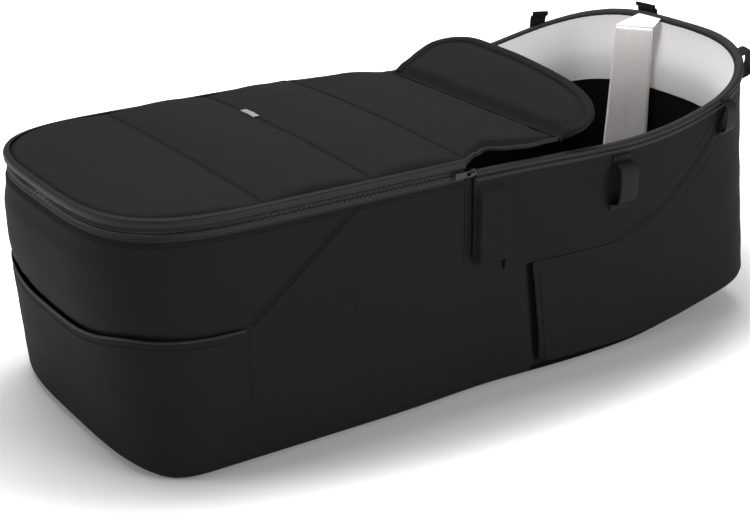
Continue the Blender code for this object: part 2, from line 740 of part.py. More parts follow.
def make_zip(tape, teeth, apron):
    """Make both halves of the zip: a tape and a coil on the tub, and the same on the apron."""
    low = FOOT_RIM_HEIGHT - ZIP_STAND + GAP
    middle = COIL_PITCH / 2

    def body_tape(a, b, c):
        z = mix(low, ZIP_LINE - GAP, b)
        return around_foot(a, z, TAPE_INSET + TAPE * c, ZIP_END)

    def apron_tape(a, b, c):
        z = mix(ZIP_LINE + GAP, BAND_TOP - GAP, b)
        return around_foot(a, z, BAND - BAND_PROUD + APRON_TAPE * c, ZIP_END)

    def coil(z):
        return [around_foot(i / CORD_POINTS, z, -COIL_OUT, ZIP_END) for i in range(CORD_POINTS + 1)]

    finish("body_zip_tape", slab(TRIM_COLUMNS, 1, body_tape), tape)
    finish("apron_zip_tape", slab(TRIM_COLUMNS, 1, apron_tape), tape, apron)
    cord("body_zip_coil", coil(ZIP_LINE - middle), COIL_RADIUS, teeth)
    cord("apron_zip_coil", coil(ZIP_LINE + middle), COIL_RADIUS, teeth, apron)


def quilt_columns():
    """Return the places along the apron where its top is shaped, closer beside the seams."""
    first_shares = (0.002, 0.01, 0.028, 0.055, 0.09, 0.14, 0.21, 0.32, 0.5, 0.72, 0.93)
    shares = (0.0, 0.07, 0.26, 0.5, 0.74, 0.93)
    places = [FOOT_X + QUILT_INSET + FIRST_CHANNEL * share for share in first_shares]
    stops = (SEAM_ONE, SEAM_TWO, SEAM_THREE, FOLD)
    for start, end in zip(stops, stops[1:]):
        places += [mix(start, end, share) for share in shares]
    return places + [FOLD]


def make_quilt(fabric, apron):
    """Make the apron's quilted panel, three zipped channels and a free one, up to the fold."""
    places = quilt_columns()

    def place(a, b, c):
        x = places[round(a * (len(places) - 1))]
        across = 2.0 * b - 1.0
        y = -across * side_y(x, FOOT_RIM_HEIGHT, QUILT_INSET)
        lift = FREE_EDGE_LIFT * ease((x - SEAM_THREE) / FREE_EDGE_LENGTH)
        floor = QUILT_FLOOR + lift
        ceiling = quilt_top(x, across)
        return x, y, mix(ceiling, floor, c)

    finish("apron_quilt", slab(len(places) - 1, QUILT_ROWS, place), fabric, apron)


def make_apron_edge(fabric, trim, apron):
    """Make the upright band round the apron and the piping along its top."""
    def band(a, b, c):
        z = mix(BAND_BOTTOM, BAND_TOP, b)
        return around_foot(a, z, -BAND_PROUD + (BAND - GAP) * c, ZIP_END)

    finish("apron_band", slab(TRIM_COLUMNS, 1, band), fabric, apron)
    z = BAND_TOP + GAP + PIPING_RADIUS
    inset = BAND / 2 - BAND_PROUD
    points = [around_foot(i / CORD_POINTS, z, inset, ZIP_END) for i in range(CORD_POINTS + 1)]
    cord("apron_piping", points, PIPING_RADIUS, trim, apron)


def flap_point(turn, share, depth):
    """Return a point of the raised wind flap: turn runs across it, share from fold to edge."""
    reach = FLAP_DEPTH * math.cos(turn) ** (2 / FLAP_SQUARENESS)
    side = math.copysign(abs(math.sin(turn)) ** (2 / FLAP_SQUARENESS), turn)
    along = mix(GAP + GAP, reach, share)
    up = -FLAP_ARCH * side * side - depth
    x = along * math.cos(FLAP_RAISE) - up * math.sin(FLAP_RAISE)
    z = along * math.sin(FLAP_RAISE) + up * math.cos(FLAP_RAISE)
    return Vector((FOLD + x, FLAP_HALF_WIDTH * side, FLAP_AXIS_Z + z))


def make_flap(fabric, trim, flap):
    """Make the wind flap, a raised D, and the bound cord along its edge."""
    def place(a, b, c):
        turn = mix(-FLAP_SIDE_TURN, FLAP_SIDE_TURN, a)
        return flap_point(turn, b, FLAP_THICKNESS * c)

    finish("wind_flap", slab(22, 4, place), fabric, flap)
    points = []
    face = Vector((-math.sin(FLAP_RAISE), 0.0, math.cos(FLAP_RAISE)))
    for step in range(END_COLUMNS + 1):
        turn = mix(-FLAP_SIDE_TURN, FLAP_SIDE_TURN, step / END_COLUMNS)
        edge = flap_point(turn, 1.0, FLAP_THICKNESS / 2)
        along = flap_point(turn + FLAP_TURN_STEP, 1.0, 0.0) - flap_point(turn - FLAP_TURN_STEP, 1.0, 0.0)
        out = along.cross(face).normalized()
        points.append(edge + out * (FLAP_BINDING_RADIUS + FLAP_BINDING_CLEARANCE))
    cord("flap_binding", points, FLAP_BINDING_RADIUS, trim, flap)


def make_tag(pale, apron):
    """Make the blank tag sewn along the apron's second seam."""
    half = RIM_WIDTH / 2

    def place(a, b, c):
        x = SEAM_TWO + TAG_WIDTH * (a - 0.5)
        y = TAG_OFFSET + TAG_LENGTH * (b - 0.5)
        lift = TAG_CLEARANCE + TAG_THICKNESS * c
        return x, y, max(quilt_top(SEAM_TWO + TAG_WIDTH / 2, y / half), quilt_top(x, y / half)) + lift
    finish("blank_tag", slab(1, 3, place), pale, apron)


def make_loop(name, webbing, arch, across):
    """Make a webbing loop: arch(share, depth) gives its profile, across its width."""
    def place(a, b, c):
        return across(b, *arch(a, WEBBING * c))
    finish(name, slab(12, 2, place), webbing)


def bowed(share, bulge):
    """Return how far a loop stands off: flat at its sewn tabs and bowed between them."""
    inner = (share - LOOP_TAB_share) / (1.0 - 2.0 * LOOP_TAB_share)
    return bulge * math.sin(math.pi * min(max(inner, 0.0), 1.0)) ** 0.8


def make_side_loop(name, side, centre, bottom, height, bulge, webbing):
    """Make a loop that stands upright on a side wall, open along the tub."""
    low = -(YOKE_PROUD + GAP)
    high = low - BINDING - LOOP_CLEARANCE if bottom + height > FOOT_RIM_HEIGHT - BINDING_LEG else low

    def arch(share, depth):
        surface = mix(low, high, share)
        return mix(bottom, bottom + height, share), surface - bowed(share, bulge) - depth

    def across(b, z, inset):
        x = centre + LOOP_WIDTH * (b - 0.5)
        return x, mirrored(side) * side_y(x, z, inset), z

    make_loop(name, webbing, arch, across)


def make_head_loop(name, side, webbing):
    """Make a loop on the head end that bows outwards and rises above the rim."""
    surface = -(YOKE_PROUD + BINDING + 2 * GAP)
    middle = mirrored(side) * HEAD_LOOP_OFFSET

    def arch(share, depth):
        top = rim_height(head_x(middle, HEAD_RIM_HEIGHT, 0.0)) - HEAD_LOOP_DROP
        bow = bowed(share, 1.0)
        rise = HEAD_LOOP_RISE * math.sin(math.pi * share) * share
        z = mix(top - HEAD_LOOP_HEIGHT, top, share) + (rise + depth * share) * bow
        return z, surface - HEAD_LOOP_BULGE * bow - depth

    def across(b, z, inset):
        y = -(middle + HEAD_LOOP_WIDTH * (b - 0.5))
        return head_x(y, min(z, HEAD_RIM_HEIGHT), 0.0) - inset, y, z

    make_loop(name, webbing, arch, across)


def make_loops(webbing):
    """Make the six frame loops: one on each side, each head corner and each end of the head."""
    side_x = HUB_X + SIDE_LOOP_FROM_HUB
    corner_x = HEAD_X - CORNER_LOOP_FROM_HEAD
    for side in ("near", "far"):
        make_side_loop(side + "_side_loop", side, side_x, SIDE_LOOP_BOTTOM, SIDE_LOOP_HEIGHT,
                       SIDE_LOOP_BULGE, webbing)
        make_side_loop(side + "_corner_loop", side, corner_x, CORNER_LOOP_BOTTOM,
                       CORNER_LOOP_HEIGHT, CORNER_LOOP_BULGE, webbing)
        make_head_loop(side + "_head_loop", side, webbing)


def slider_y(side, inset):
    """Return a slider's y on its side of the rim, at an inset from the rim's outline."""
    return -mirrored(side) * (RIM_WIDTH / 2 - inset)


def spread(low, high):
    """Return two numbers in rising order."""
    return (low, high) if low < high else (high, low)


def side_box(side, x_pair, inset_pair, z_pair):
    """Return a bmesh box on one side, between two insets from the rim's outline."""
    y_low, y_high = spread(slider_y(side, inset_pair[0]), slider_y(side, inset_pair[1]))
    return box((x_pair[0], y_low, z_pair[0]), (x_pair[1], y_high, z_pair[1]))


def make_slider(side, metal, joint):
    """Make a zip slider: a plate with two flanges round the coils, and a bridge for its puller."""
    half = SLIDER_LENGTH / 2
    plate_out = SLIDER_PLATE_INSET - SLIDER_PLATE
    x_pair = (SLIDER_X - half, SLIDER_X + half)
    z_low, z_high = ZIP_LINE - SLIDER_HEIGHT / 2, ZIP_LINE + SLIDER_HEIGHT / 2
    body = side_box(side, x_pair, (plate_out, TAPE_INSET - GAP), (z_low, z_high))
    made = finish(side + "_slider", body, metal, joint, smooth=False)
    groove_z = (z_low + SLIDER_PLATE, z_high - SLIDER_PLATE)
    cut_x = (x_pair[0] - OVERRUN, x_pair[1] + OVERRUN)
    groove = side_box(side, cut_x, (SLIDER_PLATE_INSET, TAPE_INSET + OVERRUN), groove_z)
    join_with(made, groove, "DIFFERENCE")
    bridge_x = (SLIDER_X - BRIDGE_SPAN / 2, SLIDER_X + BRIDGE_SPAN / 2)
    bridge_z = (ZIP_LINE - BRIDGE_WIDTH / 2, ZIP_LINE + BRIDGE_WIDTH / 2)
    top = plate_out - BRIDGE_GAP - BRIDGE_BAR
    tool = side_box(side, bridge_x, (top, plate_out + SLIDER_PLATE / 2), bridge_z)
    join_with(made, tool, "UNION")
    hole_x = (bridge_x[0] + BRIDGE_BAR, bridge_x[1] - BRIDGE_BAR)
    hole_z = (bridge_z[0] - OVERRUN, bridge_z[1] + OVERRUN)
    hole = side_box(side, hole_x, (top + BRIDGE_BAR, plate_out), hole_z)
    join_with(made, hole, "DIFFERENCE")
    return made


def puller_axis(side):
    """Return the place of a puller's hinge line, midway under its slider's bridge."""
    inset = SLIDER_PLATE_INSET - SLIDER_PLATE - BRIDGE_GAP / 2
    return Vector((SLIDER_X, slider_y(side, inset), ZIP_LINE))


def make_puller(side, metal, joint):
    """Make a puller: a flat tab whose eye goes round its slider's bridge."""
    inset = SLIDER_PLATE_INSET - SLIDER_PLATE - BRIDGE_GAP / 2
    levels = (inset - PULLER / 2, inset + PULLER / 2)
    x_pair = (SLIDER_X - PULLER_LENGTH, SLIDER_X + PULLER / 2)
    z_pair = (ZIP_LINE - PULLER_WIDTH / 2, ZIP_LINE + PULLER_WIDTH / 2)
    made = finish(side + "_puller", side_box(side, x_pair, levels, z_pair), metal, joint, smooth=False)
    eye_x = (SLIDER_X - PULLER / 2 - PULLER_EYE, SLIDER_X - PULLER / 2)
    eye_z = (z_pair[0] + PULLER_ARM, z_pair[1] - PULLER_ARM)
    eye_levels = (levels[0] - OVERRUN, levels[1] + OVERRUN)
    join_with(made, side_box(side, eye_x, eye_levels, eye_z), "DIFFERENCE")
    return made


def stay_frame():
    """Return the head stay's hinge place, and its directions across and out of its face."""
    across = Vector((math.sin(STAY_TURN), -math.cos(STAY_TURN), 0.0))
    face = Vector((-math.cos(STAY_TURN), -math.sin(STAY_TURN), 0.0))
    place = Vector((HEAD_X - STAY_DISTANCE, STAY_OFFSET, STAY_TOP))
    return place, across, face


def make_stay(cloth, strip_cloth, joint):
    """Make the padded stay that hangs inside the head end, and the strip it hangs from."""
    place, across, face = stay_frame()

    def stay(a, b, c):
        width = mix(STAY_BOTTOM_WIDTH, STAY_TOP_WIDTH, b)
        point = place + across * width * (a - 0.5) - face * STAY_THICKNESS * c
        return point.x, point.y, mix(STAY_BOTTOM, STAY_TOP - GAP, b)

    made = finish("head_stay", slab(1, 1, stay), cloth, joint)
    bevel = made.modifiers.new("Soft edge", "BEVEL")
    bevel.width = STAY_EDGE
    bevel.segments = 2

    def strip(a, b, c):
        start = place + across * STAY_TOP_WIDTH * (a - 0.5) - face * STAY_THICKNESS / 2
        wall = WALL + LAYER_GAP + BINDING + STRIP_CLEARANCE
        far = head_x(start.y, STAY_TOP, wall)
        return mix(start.x, far, b), start.y, STAY_TOP + HINGE_STRIP * c

    finish("stay_hinge_strip", slab(4, 1, strip), strip_cloth)


def main():
    """Clear the scene and make every sub-part of the carrycot."""
    for old in list(bpy.data.objects):
        bpy.data.objects.remove(old)

    shell = material("black_polyester", (0.016, 0.016, 0.017), 0.85, 0.0)
    trim = material("black_binding", (0.012, 0.012, 0.013), 0.7, 0.0)
    webbing = material("black_webbing", (0.014, 0.014, 0.015), 0.75, 0.0)
    foam = material("grey_foam", (0.20, 0.20, 0.21), 0.9, 0.0)
    pale = material("pale_lining", (0.62, 0.61, 0.60), 0.85, 0.0)
    dark = material("dark_lining", (0.010, 0.009, 0.009), 0.9, 0.0)
    bed = material("mattress_cloth", (0.012, 0.010, 0.009), 0.9, 0.0)
    board = material("base_board_plastic", (0.10, 0.10, 0.11), 0.6, 0.0)
    metal = material("dark_zip_metal", (0.05, 0.05, 0.055), 0.35, 1.0)
    tape = material("zip_tape", (0.013, 0.013, 0.014), 0.8, 0.0)
    tag = material("tag_print", (0.45, 0.45, 0.46), 0.6, 0.0)

    apron_place = (FOOT_X - BAND_PROUD - COIL_OUT - COIL_RADIUS, 0.0, ZIP_LINE)
    apron = joint_empty("apron_axis", apron_place)
    flap = joint_empty("flap_axis", (FOLD, 0.0, FLAP_AXIS_Z))
    stay_axis = joint_empty("stay_axis", stay_frame()[0])

    make_floor(shell, board)
    make_mattress(bed)
    make_walls(shell, foam)
    make_linings(pale, dark)
    make_foot_pocket(shell, trim)
    make_binding(trim)
    make_zip(tape, metal, apron)
    make_quilt(shell, apron)
    make_apron_edge(shell, trim, apron)
    make_flap(shell, trim, flap)
    make_tag(tag, apron)
    make_loops(webbing)
    make_stay(pale, pale, stay_axis)
    for side in ("near", "far"):
        make_side_pocket(side, shell)
        make_yoke(side, shell)
        make_hub_flap(side, shell)
        slider_place = (SLIDER_X, slider_y(side, 0.0), ZIP_LINE)
        make_slider(side, metal, joint_empty(side + "_slider_axis", slider_place))
        make_puller(side, metal, joint_empty(side + "_puller_axis", puller_axis(side)))


main()
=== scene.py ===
"""Soft carrycot in black cloth: its cloth, webbing, zip and padding, round the jointed frame."""

import math

import bmesh
import bpy
from mathutils import Matrix, Vector, noise


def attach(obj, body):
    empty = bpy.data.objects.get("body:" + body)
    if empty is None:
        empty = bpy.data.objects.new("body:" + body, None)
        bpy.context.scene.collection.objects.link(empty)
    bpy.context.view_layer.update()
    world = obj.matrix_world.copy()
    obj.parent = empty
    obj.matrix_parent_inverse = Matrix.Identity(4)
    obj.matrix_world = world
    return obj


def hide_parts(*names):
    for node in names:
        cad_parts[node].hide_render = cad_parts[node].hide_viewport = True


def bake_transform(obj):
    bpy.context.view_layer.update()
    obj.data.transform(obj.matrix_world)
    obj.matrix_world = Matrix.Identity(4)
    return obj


bl_info = {
    "name": "Soft Carrycot",
    "version": (1, 0, 0),
    "blender": (4, 5, 0),
    "location": "View3D > Sidebar > Carrycot",
    "description": "Makes the cloth, webbing, zip and padding of a soft carrycot",
    "category": "Object",
}

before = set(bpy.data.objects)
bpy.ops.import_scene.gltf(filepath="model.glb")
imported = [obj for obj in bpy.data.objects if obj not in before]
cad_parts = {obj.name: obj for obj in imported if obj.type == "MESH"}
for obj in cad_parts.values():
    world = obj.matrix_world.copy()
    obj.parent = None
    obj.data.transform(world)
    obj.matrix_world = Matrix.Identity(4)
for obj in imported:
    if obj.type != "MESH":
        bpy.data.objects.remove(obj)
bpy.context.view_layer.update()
MM = 0.001

# Sizes of the frame's solids, in metres, which the cloth follows
GAP = 0.0003
LENGTH = 0.800
RIM_WIDTH = 0.3385
FOOT_RIM_HEIGHT = 0.2424
HEAD_RISE = 0.0588
RISE_LENGTH = 0.2625
RISE_POWER = 2.11
FOOT_LEAN = 0.017
HEAD_FLARE = 0.010
SIDE_LEAN = -0.004
RIM_FOOT_CORNER = 0.172
RIM_HEAD_CORNER = 0.148
BASE_FOOT_CORNER = 0.070
BASE_HEAD_CORNER = 0.090
RIM_FOOT_SQUARENESS = 3.6
BASE_FOOT_SQUARENESS = 3.3
HEAD_SQUARENESS = 2.9
FOOT_X = -LENGTH / 2
HEAD_X = LENGTH / 2
HEAD_RIM_HEIGHT = FOOT_RIM_HEIGHT + HEAD_RISE
WALL_BOTTOM = 0.0030
FACE_INSET = 0.0013
RECESS = 0.0076
WALL_BACK = 0.0134
WALL = 0.0157
UPPER_LINING_HEIGHT = 0.077
SEAMS = (FOOT_X, -0.2556, -0.1395, -0.0327, 0.0873)
FOLD = SEAMS[-1]
ZIP_END = -0.0347
BINDING_START = -0.0217
ZIP_LINE = FOOT_RIM_HEIGHT
ZIP_STAND = 0.0080
BAND_BOTTOM = 0.2464
BAND_TOP = 0.2559
QUILT_SIDE_TOP = 0.2556
QUILT_FLOOR = 0.2481
QUILT_INSET = 2.8 * MM
TAG_WIDTH = 7.2 * MM
TAG_LENGTH = 27 * MM
TAG_Y = 0.064
HUB_X = -0.00375
HUB_HALF = 0.02025
HUB_FLAP_LOW = 0.1455
YOKE_START = 0.0168
YOKE_FLAT_LENGTH = 0.1335
YOKE_END = 0.3023
YOKE_RISE_LENGTH = YOKE_END - YOKE_START - YOKE_FLAT_LENGTH
YOKE_TIP = 0.3125
YOKE_HEIGHT = 0.131
YOKE_RISE = 0.1023
YOKE_RISE_POWER = 1.9
BINDING_LEG = 0.012
POCKET_START = 0.0527
POCKET_SLANT = 0.017
POCKET_END = -0.280
SEAM_TOP = -0.144
MOUTH_END = 0.136
MOUTH_MIDDLE = 0.125
MOUTH_CORNER = 0.1395
MATTRESS_LOW = 0.0073
MATTRESS_HIGH = 0.0433
STAY_LOW = 0.0493
LIFT_START = 0.208
LIFT_LENGTH = 0.192
HEAD_LIFT = 0.045
LIFT_FADE = 0.200

# Sizes of the cloth's own, in metres: how thick it is, where it is sewn and folded, how it bulges
LINING_CLOTH = 1.3 * MM
HEAVY_CLOTH = 1.6 * MM
RIM_LINING = 6.4 * MM
RIM_LINING_DEPTH = 0.055
LINING_TUCK_X = 0.318
RECESS_FADE = 0.012
HINGE_CLOTH_SPAN = (0.38, 0.62)
FREE_EDGE_Z = 0.2537
HUB_SEAM_PLACES = (-0.0285, -0.0325)
HUB_SEAM_LOW = 0.150
HUB_SEAM_HIGH = 0.230
HUB_FLAP_CORNER = 7 * MM
HUB_FLAP_STAND = 6.8 * MM
YOKE_SEAM_END = 0.205
YOKE_SINK_START = 0.165
YOKE_SINK_LENGTH = 0.075
YOKE_GATHER_START = 0.18
HEAD_GATHER_START = 0.17
GATHER_LENGTH = 0.06
GATHER_WIDTH = 15 * MM
GATHER_DEPTH = 1.1 * MM
BOW_START = -0.030
BOW_LENGTH = 0.430
WAIST = 5.0 * MM
WAIST_X = 0.005
WAIST_LENGTH = 0.075
WAIST_HEIGHT = 0.18
BULGE_START = 0.29
BULGE_LENGTH = 0.09
CROWN_START = -0.31
CROWN_RUN_IN = 0.11
CROWN_END = 0.01
CROWN_RUN_OUT = 0.077


def linear(code):
    """Return a linear RGBA colour from an sRGB hex value."""
    values = [int(code[i:i + 2], 16) / 255 for i in (1, 3, 5)]
    return [v / 12.92 if v <= 0.04045 else ((v + 0.055) / 1.055) ** 2.4 for v in values] + [1.0]


def mix(low, high, share):
    """Return the value that lies this share of the way from low to high."""
    return low + (high - low) * share


def ease(share):
    """Return a smooth step for a share, held between 0 and 1."""
    share = min(max(share, 0.0), 1.0)
    return share * share * (3.0 - 2.0 * share)


def bump(distance, width):
    """Return a soft bell, 1 at no distance and nearly 0 past twice the width."""
    return math.exp(-(distance / width) ** 2)


def ripple(x, y, z, size, seed=0.0):
    """Return smooth noise between about -1 and 1, whose waves are this size."""
    return noise.noise(Vector((x / size + seed, y / size - seed, z / size + 2.0 * seed)))


def curve(points, share):
    """Return a place on a smooth curve through points, at a share of its steps."""
    spot = min(max(share, 0.0), 1.0) * (len(points) - 1)
    index = min(int(spot), len(points) - 2)
    t = spot - index
    around = [points[min(max(index + step, 0), len(points) - 1)] for step in (-1, 0, 1, 2)]
    return [0.5 * (2 * b + (c - a) * t + (2 * a - 5 * b + 4 * c - d) * t * t
                   + (3 * b - a - 3 * c + d) * t ** 3) for a, b, c, d in zip(*around)]


def table(rows, place):
    """Return a value from rows of place and value, eased from row to row."""
    for (low, first), (high, second) in zip(rows, rows[1:]):
        if place <= high:
            return mix(first, second, ease((place - low) / (high - low)))
    return rows[-1][1]


def quarter(distance, width):
    """Return the rise of a quarter circle, from 0 to 1 over this width."""
    return math.sqrt(max(1.0 - (1.0 - min(distance / width, 1.0)) ** 2, 0.0))


def inside(share, rate):
    """Return a weight that fades out towards both ends of a share."""
    return ease(share * rate) * ease((1.0 - share) * rate)


def to_middle(a):
    """Return how near a place on a wrap is to its middle: 0 at both ends and 1 there."""
    return 1.0 - abs(2.0 * a - 1.0)


def raised(point, z):
    """Return a plan point at a height."""
    return Vector((point.x, point.y, z))


# The tub's outline


def rim_height(x):
    """Return the rim's height, which climbs towards the head end."""
    share = min(max((x - HEAD_X + RISE_LENGTH) / RISE_LENGTH, 0.0), 1.0)
    return FOOT_RIM_HEIGHT + HEAD_RISE * share ** RISE_POWER


def wall_top(x):
    """Return where the wall stops: under the zip, or under the binding."""
    under_binding = rim_height(x) - 2.6 * MM
    share = ease((x - ZIP_END) / (BINDING_START - ZIP_END))
    return mix(FOOT_RIM_HEIGHT - ZIP_STAND, under_binding, share)


def section(z, inset):
    """Return the plan outline's end places, half width and corner depths at a height."""
    up_foot = min(z / FOOT_RIM_HEIGHT, 1.0)
    up_head = min(z / HEAD_RIM_HEIGHT, 1.0)
    foot = FOOT_X + FOOT_LEAN * (1.0 - up_foot) + inset
    head = HEAD_X + HEAD_FLARE * (1.0 - up_head) - inset
    half = RIM_WIDTH / 2 - SIDE_LEAN * (1.0 - z / FOOT_RIM_HEIGHT) - inset
    foot_corner = mix(BASE_FOOT_CORNER, RIM_FOOT_CORNER, up_foot) - inset
    head_corner = mix(BASE_HEAD_CORNER, RIM_HEAD_CORNER, up_head) - inset
    power = mix(BASE_FOOT_SQUARENESS, RIM_FOOT_SQUARENESS, up_foot)
    return foot, head, half, foot_corner, head_corner, power


def end_point(share, z, inset, stop, at_head):
    """Return a plan point between x = stop on the near side (0) and the middle of an end (1)."""
    foot, head, half, foot_corner, head_corner, power = section(z, inset)
    tip, corner, side = (head, head_corner, 1.0) if at_head else (foot, foot_corner, -1.0)
    power = HEAD_SQUARENESS if at_head else power
    start = tip - side * corner
    straight = max(side * (start - stop), 0.0)
    bend = straight / (straight + 2.0 * (corner + half))
    if share < bend:
        return Vector((stop + side * straight * share / bend, -half))
    first = math.asin(min(max(side * (stop - start) / corner, 0.0), 1.0) ** (power / 2))
    turn = mix(first, math.pi / 2, (share - bend) / (1.0 - bend))
    across = max(math.cos(turn), 0.0) ** (2 / power)
    return Vector((start + side * corner * math.sin(turn) ** (2 / power), -half * across))


def wrap_point(a, z, inset, stop, at_head):
    """Return a plan point on a wrap from the near side (0) round an end to the far side (1)."""
    point = end_point(to_middle(a), z, inset, stop, at_head)
    return point if a < 0.5 else Vector((point.x, -point.y))


def side_y(x, z, inset):
    """Return the near side's y at a place along the tub, corners included."""
    foot, head, half, foot_corner, head_corner, power = section(z, inset)
    into_foot = (foot + foot_corner - x) / foot_corner
    into_head = (x - head + head_corner) / head_corner
    if into_foot > 0.0:
        return -half * (1.0 - min(into_foot, 1.0) ** power) ** (1 / power)
    if into_head > 0.0:
        return -half * (1.0 - min(into_head, 1.0) ** HEAD_SQUARENESS) ** (1 / HEAD_SQUARENESS)
    return -half


def head_x(y, z, inset):
    """Return the head end's x at a place across the tub."""
    _, head, half, _, head_corner, _ = section(z, inset)
    share = (1.0 - min(abs(y) / half, 1.0) ** HEAD_SQUARENESS) ** (1 / HEAD_SQUARENESS)
    return head - head_corner + head_corner * share


def crest(x_at, height):
    """Return where an upright line, whose x depends on its height, meets a height line."""
    z = HEAD_RIM_HEIGHT
    for _ in range(5):
        z = height(x_at(z))
    return z


def seam_x(z):
    """Return where the foot panel ends: plumb below the pocket's end, then on a slant."""
    climb = max(z - MOUTH_END, 0.0) / (FOOT_RIM_HEIGHT - MOUTH_END)
    return mix(POCKET_END, SEAM_TOP, min(climb, 1.0))


def mouth_height(share):
    """Return the foot pocket's lip height, from its side end (0) to the foot's middle (1)."""
    low = MOUTH_END if share < 0.5 else MOUTH_MIDDLE
    return mix(low, MOUTH_CORNER, math.sin(math.pi * share) ** 2)


def yoke_edge(x):
    """Return the height of the yoke's lower edge, which climbs to the rim at the head corner."""
    climb = max(x - YOKE_START - YOKE_FLAT_LENGTH, 0.0) / YOKE_RISE_LENGTH
    return YOKE_HEIGHT + YOKE_RISE * climb ** YOKE_RISE_POWER


def pocket_edge(z):
    """Return the x of the side pocket's open edge, which slants towards the floor."""
    return POCKET_START + POCKET_SLANT * max(1.0 - z / YOKE_HEIGHT, 0.0)


HALF_STOPS = 8
SIDES = (("near", 1.0), ("far", -1.0))


def half_point(s, z, inset):
    """Return a plan point on the near half: 0 is the foot's middle and 8 the head's middle."""
    if s <= 1.0:
        return end_point(1.0 - s, z, inset, seam_x(z), False)
    if s >= 7.0:
        return end_point(s - 7.0, z, inset, YOKE_END, True)
    edge = pocket_edge(z)
    corner = HEAD_X - RIM_HEAD_CORNER
    xs = (seam_x(z), ZIP_END, BINDING_START, edge - RECESS_FADE, edge, corner, YOKE_END)
    index = min(int(s - 1.0), 5)
    x = mix(xs[index], xs[index + 1], s - 1.0 - index)
    return Vector((x, side_y(x, z, inset)))


def round_point(s, z, inset):
    """Return a plan point on the whole round: 0 to 8 on the near half, 8 to 16 on the far half."""
    if s <= HALF_STOPS:
        return half_point(s, z, inset)
    point = half_point(2 * HALF_STOPS - s, z, inset)
    return Vector((point.x, -point.y))


def stops(count):
    """Return places spaced evenly all round the outline."""
    return [i * 2 * HALF_STOPS / count for i in range(count)]


def near_stop(s):
    """Return a place's match on the near half."""
    return s if s <= HALF_STOPS else 2 * HALF_STOPS - s


def wrap_out(a, end):
    """Return the level direction out of a wrap round the foot (-1) or the head (1)."""
    share = to_middle(a) ** 3
    side = -1.0 if a < 0.5 else 1.0
    return Vector((end * share, side * (1.0 - share), 0.0)).normalized()


def lining_inset(drop):
    """Return how far in the lining lies: the wall is thin under the rim and thicker below."""
    return mix(RIM_LINING, WALL, ease(drop / RIM_LINING_DEPTH))


FOOT_BULGE = ((0.0, 0.0), (0.046, 0.002), (0.087, 0.0045), (0.128, 0.0062), (0.165, 0.0095),
              (0.200, 0.0090), (0.225, 0.0050), (FOOT_RIM_HEIGHT, 0.0), (1.0, 0.0))
BASE_ROUND = 0.014


def settled(point, side_bow):
    """Return where a point comes to rest.

    The head's floor rises, the open sides and the foot bulge, the middle draws in at the floor
    and the lower edge is round.
    """
    x, y, z = point
    share = (x - LIFT_START) / LIFT_LENGTH
    rise = HEAD_LIFT * 0.5 * (share + math.hypot(share, 0.2)) * max(1.0 - z / LIFT_FADE, 0.0)
    along = min(max((x - BOW_START) / BOW_LENGTH, 0.0), 1.0)
    bow = side_bow * math.sin(math.pi * along) ** 2 * min(max(z / FOOT_RIM_HEIGHT, 0.0), 1.0)
    bow -= WAIST * bump(x - WAIST_X, WAIST_LENGTH) * max(1.0 - z / WAIST_HEIGHT, 0.0)
    bulge = table(FOOT_BULGE, max(z, 0.0)) * ease((-x - BULGE_START) / BULGE_LENGTH)
    under = max(1.0 - max(z, 0.0) / BASE_ROUND, 0.0)
    tuck = BASE_ROUND * (1.0 - math.sqrt(1.0 - under * under))
    across = min(max(2.0 * y / RIM_WIDTH, -1.0), 1.0)
    over = Vector((math.copysign(min(abs(x) / HEAD_X, 1.0) ** 9, x), math.copysign(across ** 8, y)))
    inward = over * (tuck / max(over.length, 0.35))
    return Vector((x - bulge - inward.x, y + bow * across + 0.3 * bulge * across - inward.y,
                   z + rise))


def quilt_puff(x):
    """Return how full the apron is at a place, 0 at its seams and 1 between them."""
    for start, end in zip(SEAMS, SEAMS[1:]):
        if start <= x <= end:
            full = 0.55 if start == FOOT_X else 1.0
            return full * math.sin(math.pi * (x - start) / (end - start)) ** 0.8
    return 0.0


NEAR_EDGE = ((ZIP_END, 0.1690), (-0.0095, 0.1570), (0.007, 0.1490), (0.026, 0.1580),
             (0.049, 0.1630), (0.077, 0.1600), (FOLD, 0.1590))
FAR_EDGE = ((ZIP_END, 0.1690), (0.020, 0.1530), (FOLD, 0.1350))


def free_edge(x, at_far):
    """Return how far out the apron's free edge lies, between the zip's end and the fold."""
    return table(FAR_EDGE if at_far else NEAR_EDGE, x)


def quilt_half(x, at_far):
    """Return how far out the quilt reaches: to the band, or to its own free edge."""
    if x > ZIP_END:
        return free_edge(x, at_far) - 2.5 * MM
    return -side_y(x, FOOT_RIM_HEIGHT, QUILT_INSET)


def quilt_margin(x, y):
    """Return how far inside the quilt's outline a place lies."""
    foot, _, half, corner, _, power = section(FOOT_RIM_HEIGHT, QUILT_INSET)
    into = (foot + corner - x) / corner
    if into <= 0.0:
        return quilt_half(x, y > 0.0) - abs(y)
    out = abs(y) / half
    reach = max((into ** power + out ** power) ** (1 / power), 0.001)
    slope = math.hypot((into / reach) ** (power - 1) / corner, (out / reach) ** (power - 1) / half)
    return (1.0 - reach) / slope


